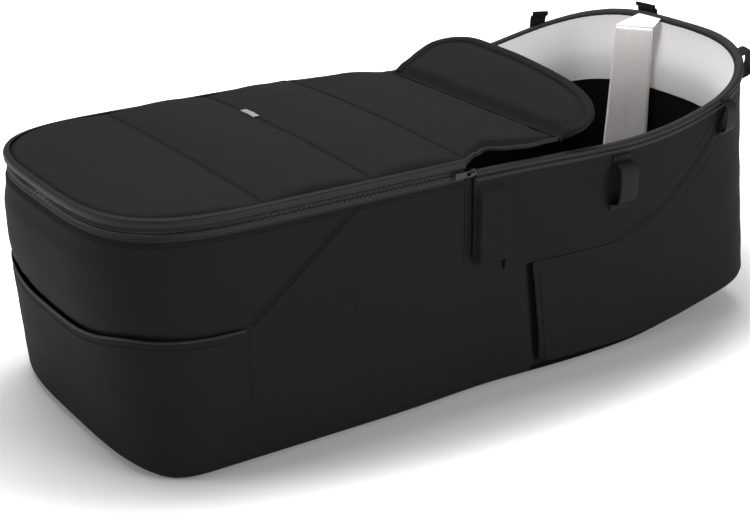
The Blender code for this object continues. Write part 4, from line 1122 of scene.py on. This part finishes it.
class CARRYCOT_OT_binding(bpy.types.Operator):
    """Make the grosgrain binding over the rim: a welt, a groove and a rounded top"""

    bl_idname = "carrycot.binding"
    bl_label = "Rim binding"

    def execute(self, context):
        # The binding's outline from its outer hem over the rim: inset and height in millimetres
        profile = ((-0.2, -11.6), (-1.5, -11.2), (-2.2, -9.9), (-2.2, -8.2), (-1.5, -6.9),
                   (-0.9, -6.3), (-1.7, -5.6), (-2.7, -4.2), (-2.8, -2.4), (-2.0, -0.9),
                   (-0.3, -0.1), (2.2, 0.15), (4.6, -0.2), (6.0, -1.2), (6.6, -2.6), (6.4, -3.6))
        middle = Vector((2.2, -6.0))

        def place(a, b, c):
            spot = Vector(curve(profile, b))
            spot += (middle - spot).normalized() * c
            inset = spot.x * MM
            pucker = 0.3 * MM * ripple(a * 40.0, b * 2.0, 0.0, 1.0, 2.0)
            high = crest(lambda z: wrap_point(a, z, inset, BINDING_START, True).x, rim_height)
            point = wrap_point(a, high + spot.y * MM, inset, BINDING_START, True)
            return Vector((point.x, point.y, high + spot.y * MM + pucker * (1.0 - c)))

        bm = slab(shares(220), shares(45), place, (1.1, 0.03))
        finish("rim_binding_ribbed", bm, GROSGRAIN, "tub", ("rim_binding",))
        points = []
        for i in range(221):
            high = crest(lambda z: wrap_point(i / 220, z, 0.0, BINDING_START, True).x, rim_height)
            z = high - 6.3 * MM
            points.append(raised(wrap_point(i / 220, z, -1.1 * MM, BINDING_START, True), z))
        sew("rim_binding_stitches", [(points, [wrap_out(i / 220, 1.0) for i in range(221)])])
        return {"FINISHED"}


def around_foot(a, z, inset):
    """Return a point of the foot's outline in space; it stands plumb above the zip."""
    return raised(wrap_point(a, min(z, ZIP_LINE), inset, ZIP_END, False), z)


def foot_out(a):
    """Return the level direction out of the foot's outline."""
    ahead = around_foot(min(a + 0.004, 1.0), ZIP_LINE, 0.0)
    behind = around_foot(max(a - 0.004, 0.0), ZIP_LINE, 0.0)
    return (ahead - behind).cross(UP).normalized() * -1.0


def foot_seam(z, inset):
    """Return a seam round the foot: its points and the directions out of them."""
    return ([around_foot(i / 220, z, inset) for i in range(221)],
            [foot_out(i / 220) for i in range(221)])


class CARRYCOT_OT_zip(bpy.types.Operator):
    """Make both halves of the zip: tapes, teeth and rows of stitching"""

    bl_idname = "carrycot.zip"
    bl_label = "Zip"

    def execute(self, context):
        low = FOOT_RIM_HEIGHT - ZIP_STAND + GAP
        us = shares(180)

        def body_tape(a, b, c):
            z = mix(low, ZIP_LINE - GAP, b)
            lift = 0.5 * MM * bump(b - 0.25, 0.10)
            return around_foot(a, z, 0.8 * MM + 1.4 * MM * c - lift * (1.0 - c))

        def apron_tape(a, b, c):
            return around_foot(a, mix(ZIP_LINE + GAP, BAND_TOP - GAP, b), 1.0 * MM + 1.0 * MM * c)

        for body, name, place in (("tub", "body", body_tape), ("apron", "apron", apron_tape)):
            finish(name + "_zip_tape_woven", slab(us, shares(8), place, (0.75, 0.01)),
                   GROSGRAIN, body, (name + "_zip_tape",))
            shift = -1.2 * MM if body == "tub" else 1.2 * MM
            teeth = bmesh.new()
            count = 300
            for i in range(count):
                a = (i + (0.5 if body == "tub" else 0.0)) / count
                here = around_foot(a, ZIP_LINE + shift, 0.6 * MM)
                out = foot_out(a)
                along = out.cross(UP)
                basis = Matrix((along * 1.3 * MM, UP * 1.9 * MM, out * 1.7 * MM)).transposed()
                bmesh.ops.create_icosphere(teeth, subdivisions=1, radius=0.55,
                                           matrix=Matrix.Translation(here) @ basis.to_4x4())
            finish(name + "_zip_teeth", teeth, NYLON, body, (name + "_zip_coil",))

        def hinge(a, b, c):
            z = mix(ZIP_LINE - 6 * MM, ZIP_LINE + 7 * MM, b)
            return around_foot(mix(*HINGE_CLOTH_SPAN, a), z, (2.5 + 0.9 * c) * MM)

        made = finish("apron_hinge_cloth", slab(shares(40), shares(16), hinge, (0.18, 0.013)),
                      GROSGRAIN, None)
        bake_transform(made)
        places = ((1.2 * MM, 0.6 * MM), (-2.6 * MM, 1.1 * MM), (-5.4 * MM, 1.1 * MM))
        sew("zip_stitches", [foot_seam(low + drop, inset) for drop, inset in places])
        return {"FINISHED"}


class CARRYCOT_OT_apron_edge(bpy.types.Operator):
    """Make the apron's upright band, its top-stitching and its piping"""

    bl_idname = "carrycot.apron_edge"
    bl_label = "Apron edge"

    def execute(self, context):
        def band(a, b, c):
            z = mix(BAND_BOTTOM, BAND_TOP, b)
            swell = 2.6 * MM * math.sqrt(max(1.0 - (2.0 * b - 1.0) ** 2, 0.0))
            soft = 0.2 * MM * ripple(a * 60.0, b, 0.0, 1.0, 4.0)
            return around_foot(a, z, mix(-0.2 * MM - swell + soft, 0.7 * MM, c))

        bm = slab(shares(180), shares(14, 1.0), band, (0.75, 0.0095))
        finish("apron_band_cloth", bm, GROSGRAIN, "apron", ("apron_band",))
        z = BAND_TOP - 0.6 * MM
        points = [around_foot(i / 220, z, 1.9 * MM) for i in range(221)]
        finish("apron_piping_corded", tube(points, 1.2 * MM, 1.2 * MM), GROSGRAIN,
               "apron", ("apron_piping",))
        sew("apron_band_stitches", [foot_seam(BAND_BOTTOM + 1.8 * MM, -2.3 * MM)], "apron")
        return {"FINISHED"}


class CARRYCOT_OT_quilt(bpy.types.Operator):
    """Make the apron's padded top, sewn in channels across it"""

    bl_idname = "carrycot.quilt"
    bl_label = "Apron quilt"

    def execute(self, context):
        sizes = context.scene.carrycot_sizes
        foot = FOOT_X + QUILT_INSET
        xs = [foot + v for v in (0.0002, 0.0008, 0.002, 0.004, 0.007, 0.011, 0.016)]
        for start, end in zip(SEAMS, SEAMS[1:]):
            first = start if start > FOOT_X else foot + 0.022
            steps = [0.0, 0.01, 0.025, 0.05] + [0.05 + 0.9 * i / 22 for i in range(1, 22)]
            xs += [mix(first, end, s) for s in steps + [0.95, 0.975, 0.99]]
        xs.append(FOLD)
        us = [i / (len(xs) - 1) for i in range(len(xs))]

        def place(a, b, c):
            x = xs[round(a * (len(xs) - 1))]
            across = 2.0 * b - 1.0
            y = across * quilt_half(x, across > 0.0)
            floor = QUILT_FLOOR + 3.0 * MM * ease((x - SEAMS[3]) / 0.03)
            floor -= 1.2 * MM * quilt_puff(x) * (1.0 - abs(across) ** 8)
            return Vector((x, y, mix(quilt_top(x, y, sizes), floor, c)))

        bm = slab(us, shares(110, 0.35), place, (0.49, 0.34))
        made = finish("apron_quilt_padded", bm, QUILTED_OXFORD, "apron", ("apron_quilt",))
        seams = []
        for seam in SEAMS[1:4]:
            for x in (seam - 1.6 * MM, seam + 1.6 * MM):
                points = []
                for i in range(120):
                    y = mix(-0.98, 0.98, i / 119) * quilt_half(x, i > 60)
                    points.append(Vector((x, y, quilt_top(x, y, sizes) + 0.2 * MM)))
                seams.append((points, [UP] * 120))
        for side, sign in SIDES:
            at_far = side == "far"
            span = [mix(ZIP_END + 1 * MM, FOLD - 1.5 * MM, i / 60) for i in range(61)]
            points = [Vector((x, -sign * (free_edge(x, at_far) - 2.4 * MM), FREE_EDGE_Z))
                      for x in span]
            finish(side + "_apron_edge_bound", tube(points, 2.5 * MM, 2.2 * MM), GROSGRAIN,
                   "apron")
            points = []
            for x in span[2:-1]:
                y = -sign * (free_edge(x, at_far) - 8.5 * MM)
                points.append(Vector((x, y, quilt_top(x, y, sizes) + 0.2 * MM)))
            seams.append((points, [UP] * len(points)))
        sew("quilt_stitches", seams, "apron")
        seam = SEAMS[2]

        def tag(a, b, c):
            x = seam + TAG_WIDTH * (a - 0.5)
            y = TAG_Y + TAG_LENGTH * (b - 0.5)
            over = max(quilt_top(seam + TAG_WIDTH / 2, y, sizes), quilt_top(x, y, sizes))
            return Vector((x, y, over + 0.7 * MM + 0.6 * MM * c + 0.5 * MM * ripple(x, y, 0, 0.01)))

        finish("blank_tag_ribbon", slab(shares(6), shares(20), tag, (0.007, 0.027)),
               RIBBON, "apron", ("blank_tag",))
        return {"FINISHED"}


FLAP_RAISE = math.radians(20)
FLAP_AXIS_Z = 0.2607
FLAP_NEAR = -0.160
FLAP_FAR = 0.126
FLAP_EDGE = ((-0.166, 0.0), (-0.1765, 0.010), (-0.178, 0.022), (-0.1725, 0.038),
             (-0.1585, 0.052), (-0.135, 0.0655), (-0.103, 0.076), (-0.060, 0.083),
             (-0.015, 0.0865), (0.040, 0.0905), (0.078, 0.091), (0.100, 0.086), (0.117, 0.075),
             (0.127, 0.058), (0.1275, 0.038), (0.125, 0.020), (0.125, 0.008), (0.128, -0.003))


def flap_point(y, along, up):
    """Return a point of the raised wind flap: across it, along it from the fold, and above it."""
    up -= 5.0 * MM * (1.0 - ease((along + 0.003) / 0.015))
    x = along * math.cos(FLAP_RAISE) - up * math.sin(FLAP_RAISE)
    z = along * math.sin(FLAP_RAISE) + up * math.cos(FLAP_RAISE)
    return Vector((FOLD + 0.6 * MM + x, y, FLAP_AXIS_Z + z))


def flap_wave(y, along):
    """Return the soft waves of the wind flap."""
    return 1.6 * MM * ripple(y, along, 0.0, 0.055, 2.5) * ease(along / 0.025)


class CARRYCOT_OT_wind_flap(bpy.types.Operator):
    """Make the raised wind flap with its wide bound edge"""

    bl_idname = "carrycot.wind_flap"
    bl_label = "Wind flap"

    def execute(self, context):
        count = 150
        us = [i / count for i in range(count + 1)]
        rim = [Vector(curve(FLAP_EDGE, share)) for share in us]
        rim = [point * mix(1.0, 0.962, ease(-point.x / 0.13)) for point in rim]

        def place(a, b, c):
            edge = rim[round(a * count)]
            base = Vector((mix(FLAP_NEAR, FLAP_FAR, ease(a) * 0.5 + a * 0.5), -3 * MM))
            spot = base.lerp(edge, 0.965 * b)
            margin = min((spot - point).length for point in rim)
            full = ease((margin - 10 * MM) / (16 * MM)) * ease(spot.y / 0.018)
            groove = 0.7 * MM * bump(margin - 13.5 * MM, 1.3 * MM)
            up = flap_wave(*spot) + mix(0.2 * MM + 2.2 * MM * full - groove,
                                        -3.4 * MM - 0.6 * MM * full, c)
            return flap_point(spot.x, spot.y, up)

        bm = slab(us, shares(46, 0.3), place, (0.34, 0.09))
        made = finish("wind_flap_padded", bm, QUILTED_OXFORD, "wind_flap", ("wind_flap",))
        # The binding's outline round the flap's edge: inwards and upwards in millimetres
        profile = ((10.6, 0.4), (9.6, 1.5), (7.0, 2.3), (3.6, 2.2), (1.0, 1.2), (0.0, -0.7),
                   (1.0, -2.6), (3.6, -3.7), (7.0, -4.2), (10.6, -4.0))
        middle = Vector((8.0, -1.0))

        def binding(a, b, c):
            spot = Vector(curve(profile, b))
            spot += (middle - spot).normalized() * 0.8 * c
            here = rim[round(a * count)]
            ahead = rim[min(round(a * count) + 1, count)]
            behind = rim[max(round(a * count) - 1, 0)]
            along = (ahead - behind).normalized()
            inner = here + Vector((along.y, -along.x)) * spot.x * MM
            inner.y = max(inner.y, 0.0)
            soft = 0.3 * MM * ripple(a * 30.0, b * 2.0, 0.0, 1.0, 6.0) * (1.0 - c)
            return flap_point(inner.x, inner.y, flap_wave(*inner) + spot.y * MM + soft)

        bm = slab(us, shares(30), binding, (0.5, 0.02))
        finish("flap_binding_ribbed", bm, OXFORD, "wind_flap", ("flap_binding",))
        return {"FINISHED"}


STAPLE = ((0.0, 0.0), (0.09, 0.0), (0.135, 0.10), (0.15, 0.45), (0.18, 0.82), (0.29, 1.0),
          (0.5, 1.04), (0.71, 1.0), (0.82, 0.82), (0.85, 0.45), (0.865, 0.10), (0.91, 0.0),
          (1.0, 0.0))


def staple(share, size, bulge, depth):
    """Return a loop's rise and how far it stands off, a depth above its inner face."""
    first = curve(STAPLE, share - 0.01)
    second = curve(STAPLE, share + 0.01)
    along = Vector(((second[0] - first[0]) * size, (second[1] - first[1]) * bulge)).normalized()
    rise, out = curve(STAPLE, share)
    return rise * size - along.y * depth, out * bulge + along.x * depth


# Loops on a side: centre along the tub, lowest height, height, bulge, width, inset of the top tab
SIDE_LOOP = (0.1575, 0.170, 0.0595, 14 * MM, 23 * MM, -1.9 * MM)
NEAR_CORNER_LOOP = (0.3095, 0.223, 0.041, 9 * MM, 18 * MM, -3.1 * MM)
FAR_CORNER_LOOP = (0.330, 0.246, 0.041, 4 * MM, 18 * MM, -3.1 * MM)
# Loops on the head end: centre across the tub, width, bulge, drop below the rim, lift of the bow
NEAR_HEAD_LOOP = (0.106, 24 * MM, 22 * MM, 6 * MM, 9 * MM)
FAR_HEAD_LOOP = (0.056, 30 * MM, 4 * MM, -9 * MM, 0.0)
HEAD_LOOP_HEIGHT = 34 * MM
WEB = 1.6 * MM


class CARRYCOT_OT_loops(bpy.types.Operator):
    """Make the webbing loops for the frame and the hood, each with its bar tacks"""

    bl_idname = "carrycot.loops"
    bl_label = "Webbing loops"

    def make(self, name, profile, spot, width):
        """Make one loop from its profile and a function that gives points across it."""
        def place(a, b, c):
            full = 1.0 - 0.45 * (1.0 - min(min(b, 1.0 - b) / 0.06, 1.0)) ** 2
            height, inset = profile(a, mix(0.5 * WEB * (1 - full), WEB * full, c))
            return spot(b, height, inset)

        bm = slab(shares(44), shares(14, 0.6), place, (0.08, width))
        finish(name + "_webbing", bm, WEBBING, "tub", (name,))
        seams = []
        for share in (0.05, 0.10):
            height, inset = profile(share, WEB)
            points = [spot(mix(0.08, 0.92, i / 11), height, inset) for i in range(12)]
            outs = [Vector((0.5, first.y, 0.0)).normalized() for first in points]
            seams.append((points, outs))
        sew(name + "_webbing_tacks", seams, pitch=2.4 * MM, length=1.9 * MM)

    def make_upright(self, name, sign, centre, low, height, bulge, width, last):
        """Make a loop that stands upright on a side."""
        def profile(share, depth):
            rise, out = staple(share, height, bulge, depth)
            return low + rise, mix(-1.9 * MM, last, share) - out

        def spot(b, z, inset):
            x = centre + width * (b - 0.5)
            return Vector((x, sign * side_y(x, z, inset), z))

        self.make(name, profile, spot, width)

    def make_on_head(self, name, sign, centre, width, bulge, drop, bow_lift):
        """Make a loop that stands on the head end."""
        middle = sign * centre
        top = rim_height(head_x(middle, HEAD_RIM_HEIGHT, 0.0)) - drop

        def profile(share, depth):
            rise, out = staple(share, HEAD_LOOP_HEIGHT, bulge, depth)
            lift = bow_lift * math.sin(math.pi * share) * share * min(max(out / bulge, 0.0), 1.0)
            return top - HEAD_LOOP_HEIGHT + rise + lift, -3.0 * MM - out

        def spot(b, z, inset):
            y = -(middle + width * (b - 0.5))
            return Vector((head_x(y, min(z, HEAD_RIM_HEIGHT), 0.0) - inset, y, z))

        self.make(name, profile, spot, width)

    def execute(self, context):
        corners = (NEAR_CORNER_LOOP, FAR_CORNER_LOOP)
        heads = (NEAR_HEAD_LOOP, FAR_HEAD_LOOP)
        for (side, sign), corner, head in zip(SIDES, corners, heads):
            self.make_upright(side + "_side_loop", sign, *SIDE_LOOP)
            self.make_upright(side + "_corner_loop", sign, *corner)
            self.make_on_head(side + "_head_loop", sign, *head)
        return {"FINISHED"}


STAY_TURN = math.radians(38)
STAY_PLACE = Vector((0.3635, 0.0385, 0.2887))
STAY_TOP_WIDTH = 44.5 * MM
STAY_BOTTOM_WIDTH = 56 * MM
STAY_HALF = 3.0 * MM
STAY_LEAN = 3.5 * MM


class CARRYCOT_OT_stay(bpy.types.Operator):
    """Make the padded stay in the head end and the cloth strip that it hangs from"""

    bl_idname = "carrycot.stay"
    bl_label = "Head stay"

    def execute(self, context):
        across = Vector((math.sin(STAY_TURN), -math.cos(STAY_TURN), 0.0))
        face = Vector((-math.cos(STAY_TURN), -math.sin(STAY_TURN), 0.0))

        def stay(a, b, c):
            width = mix(STAY_BOTTOM_WIDTH, STAY_TOP_WIDTH, b)
            edge = quarter(min(a, 1 - a), 0.07)
            ends = quarter(min(b, 1 - b), 0.012)
            z = mix(STAY_LOW, STAY_PLACE.z - GAP, b)
            full = 1.0 * MM * math.sin(math.pi * a) * ripple(a, 0.0, z, 0.05, 2.0)
            front = STAY_HALF * edge * ends + full
            depth = mix(STAY_HALF - front, STAY_HALF + 2.9 * MM * edge * ends, c)
            lean = mix(-1.5 * MM, STAY_LEAN, b)
            return raised(STAY_PLACE + across * (width * (a - 0.5) + lean) - face * depth, z)

        bm = slab(shares(22, 0.8), shares(60, 0.9), stay, (0.05, 0.24))
        # The stay and its hinge strip wear the shaded copy of the pale jersey, whose colour is
        # painted shade
        made = finish("head_stay_padded", bm, STAY_JERSEY_SHADED, "head_stay", ("head_stay",))

        def strip(a, b, c):
            start = STAY_PLACE + across * (STAY_TOP_WIDTH * (a - 0.5) + STAY_LEAN)
            start -= face * STAY_HALF
            far = head_x(start.y, STAY_PLACE.z, lining_inset(12 * MM) + 0.3 * MM)
            z = STAY_PLACE.z + 0.2 * MM + 1.0 * MM * c + 9 * MM * b
            return Vector((mix(start.x, far, b), start.y, z))

        bm = slab(shares(20), shares(6), strip, (0.045, 0.02))
        finish("stay_hinge_cloth", bm, STAY_JERSEY_SHADED, "tub", ("stay_hinge_strip",))
        return {"FINISHED"}


class CARRYCOT_OT_sliders(bpy.types.Operator):
    """Give the zip's sliders and pullers their plated finish"""

    bl_idname = "carrycot.sliders"
    bl_label = "Zip sliders"

    def execute(self, context):
        for node in ("near_slider", "near_puller", "far_slider", "far_puller"):
            refinish(node, ZINC)
        return {"FINISHED"}


# Lights: name, place, aim, width and depth in metres, and power in watts
SOFTBOXES = (
    ("top_softbox", (0.05, 0.55, 2.1), (0.0, 0.0, 0.2), (1.8, 1.2), 46.0),
    ("front_softbox", (-1.7, -2.3, 0.9), (-0.1, 0.0, 0.15), (1.6, 1.2), 12.0),
    ("side_softbox", (1.1, -2.5, 1.0), (0.1, 0.0, 0.15), (1.4, 1.2), 50.0),
    ("foot_softbox", (-2.5, 0.8, 1.0), (-0.3, 0.0, 0.15), (1.2, 1.0), 24.0),
    ("back_softbox", (1.2, 2.0, 1.6), (0.1, 0.0, 0.2), (1.6, 1.0), 6.0),
)
CAMERA_PLACE = (-0.9306, -1.3559, 0.7549)
CAMERA_AZIMUTH = -0.5885276
CAMERA_ELEVATION = 0.3835739


class CARRYCOT_OT_stage(bpy.types.Operator):
    """Make the pale floor, the soft lights and the camera"""

    bl_idname = "carrycot.stage"
    bl_label = "Stage"

    def area(self, name, place, target, size, power):
        """Add an area light that points at a target."""
        light = bpy.data.lights.new(name, "AREA")
        light.shape = "RECTANGLE"
        light.size = size[0]
        light.size_y = size[1]
        light.energy = power
        made = bpy.data.objects.new(name, light)
        made.location = place
        aim = Vector(target) - Vector(place)
        made.rotation_euler = aim.to_track_quat("-Z", "Y").to_euler()
        bpy.context.collection.objects.link(made)

    def execute(self, context):
        scene = context.scene
        scene.view_settings.view_transform = "Standard"
        bm = bmesh.new()
        bmesh.ops.create_grid(bm, x_segments=1, y_segments=1, size=6.0)
        mesh = bpy.data.meshes.new("studio_floor")
        bm.to_mesh(mesh)
        bm.free()
        floor = bpy.data.objects.new("studio_floor", mesh)
        bpy.context.collection.objects.link(floor)
        # Studio paper: white to the camera far from the carrycot; its glow fades out towards the
        # carrycot, a painted shade round it that adds to its real soft shadow
        tree, shader = new_material(PAPER)
        shader.inputs["Base Color"].default_value = linear("#dcdcdc")
        shader.inputs["Roughness"].default_value = 0.9
        path = add_node(tree, "ShaderNodeLightPath")
        seen = add_node(tree, "ShaderNodeMath", None, {"operation": "MAXIMUM"},
                        {0: path.outputs["Is Camera Ray"], 1: path.outputs["Is Glossy Ray"]})
        place = add_node(tree, "ShaderNodeTexCoord").outputs["Object"]
        even = add_node(tree, "ShaderNodeVectorMath", {1: (2.1, 4.2, 1.0)},
                        {"operation": "MULTIPLY"}, {0: place})
        away = add_node(tree, "ShaderNodeVectorMath", None, {"operation": "LENGTH"},
                        {0: even.outputs[0]})
        # The glow is nil near the carrycot and full far from it: painted shade round the carrycot
        fade = add_node(tree, "ShaderNodeMapRange", {1: 0.96, 2: 1.5, 3: 0.0, 4: 1.0},
                        {"interpolation_type": "SMOOTHSTEP"}, {0: away.outputs["Value"]})
        lift = add_node(tree, "ShaderNodeMath", None, {"operation": "MULTIPLY"},
                        {0: seen.outputs[0], 1: fade.outputs[0]})
        glow = add_node(tree, "ShaderNodeEmission", {"Color": (1.0, 1.0, 1.0, 1.0)}, None,
                        {"Strength": lift.outputs[0]})
        both = add_node(tree, "ShaderNodeAddShader", None, None,
                        {0: shader.outputs[0], 1: glow.outputs[0]})
        tree.links.new(both.outputs[0], tree.nodes["Material Output"].inputs["Surface"])
        mesh.materials.append(bpy.data.materials[PAPER])

        world = bpy.data.worlds.new("studio")
        scene.world = world
        world.use_nodes = True
        tree = world.node_tree
        path = add_node(tree, "ShaderNodeLightPath")
        seen = add_node(tree, "ShaderNodeMath", None, {"operation": "MAXIMUM"},
                        {0: path.outputs["Is Camera Ray"], 1: path.outputs["Is Transmission Ray"]})
        strength = add_node(tree, "ShaderNodeMapRange", {3: 0.28, 4: 1.0}, None,
                            {0: seen.outputs[0]})
        back = tree.nodes["Background"]
        back.inputs["Color"].default_value = (1.0, 1.0, 1.0, 1.0)
        tree.links.new(strength.outputs[0], back.inputs["Strength"])

        for box in SOFTBOXES:
            self.area(*box)

        camera = bpy.data.cameras.new("photo_camera")
        camera.sensor_width = 36.0
        camera.lens = scene.carrycot_sizes.camera_lens
        camera.clip_start = 0.05
        level = math.cos(CAMERA_ELEVATION)
        back_axis = Vector((math.sin(CAMERA_AZIMUTH) * level, -math.cos(CAMERA_AZIMUTH) * level,
                            math.sin(CAMERA_ELEVATION)))
        right = Vector((math.cos(CAMERA_AZIMUTH), math.sin(CAMERA_AZIMUTH), 0.0))
        up = back_axis.cross(right)
        made = bpy.data.objects.new("photo_camera", camera)
        turn = Matrix((right, up, back_axis)).transposed()
        made.matrix_world = Matrix.Translation(CAMERA_PLACE) @ turn.to_4x4()
        bpy.context.collection.objects.link(made)
        scene.camera = made
        return {"FINISHED"}


class CARRYCOT_PT_panel(bpy.types.Panel):
    """The carrycot's settings and makers in the 3D view's sidebar"""

    bl_idname = "CARRYCOT_PT_panel"
    bl_label = "Carrycot"
    bl_space_type = "VIEW_3D"
    bl_region_type = "UI"
    bl_category = "Carrycot"

    def draw(self, context):
        layout = self.layout
        for group in (context.scene.carrycot_sizes, context.scene.carrycot_colours):
            for name in group.bl_rna.properties.keys():
                if name not in ("rna_type", "name"):
                    layout.prop(group, name)
        for maker in OPERATORS:
            layout.operator(maker.bl_idname)


GROUPS = (CarrycotSizes, CarrycotColours)
OPERATORS = (
    CARRYCOT_OT_materials,
    CARRYCOT_OT_walls,
    CARRYCOT_OT_floor,
    CARRYCOT_OT_linings,
    CARRYCOT_OT_mattress,
    CARRYCOT_OT_foot_pocket,
    CARRYCOT_OT_head_cloth,
    CARRYCOT_OT_yokes,
    CARRYCOT_OT_hub_flaps,
    CARRYCOT_OT_binding,
    CARRYCOT_OT_zip,
    CARRYCOT_OT_apron_edge,
    CARRYCOT_OT_quilt,
    CARRYCOT_OT_wind_flap,
    CARRYCOT_OT_loops,
    CARRYCOT_OT_stay,
    CARRYCOT_OT_sliders,
    CARRYCOT_OT_stage,
)


def register():
    """Register the settings, the makers and the panel."""
    for item in GROUPS + OPERATORS + (CARRYCOT_PT_panel,):
        bpy.utils.register_class(item)
    bpy.types.Scene.carrycot_sizes = bpy.props.PointerProperty(type=CarrycotSizes)
    bpy.types.Scene.carrycot_colours = bpy.props.PointerProperty(type=CarrycotColours)


def unregister():
    """Remove the settings, the makers and the panel."""
    del bpy.types.Scene.carrycot_colours
    del bpy.types.Scene.carrycot_sizes
    for item in reversed(GROUPS + OPERATORS + (CARRYCOT_PT_panel,)):
        bpy.utils.unregister_class(item)


def main():
    """Register the add-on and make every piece."""
    register()
    for maker in OPERATORS:
        group, name = maker.bl_idname.split(".")
        getattr(getattr(bpy.ops, group), name)()


if __name__ == "__main__":
    main()
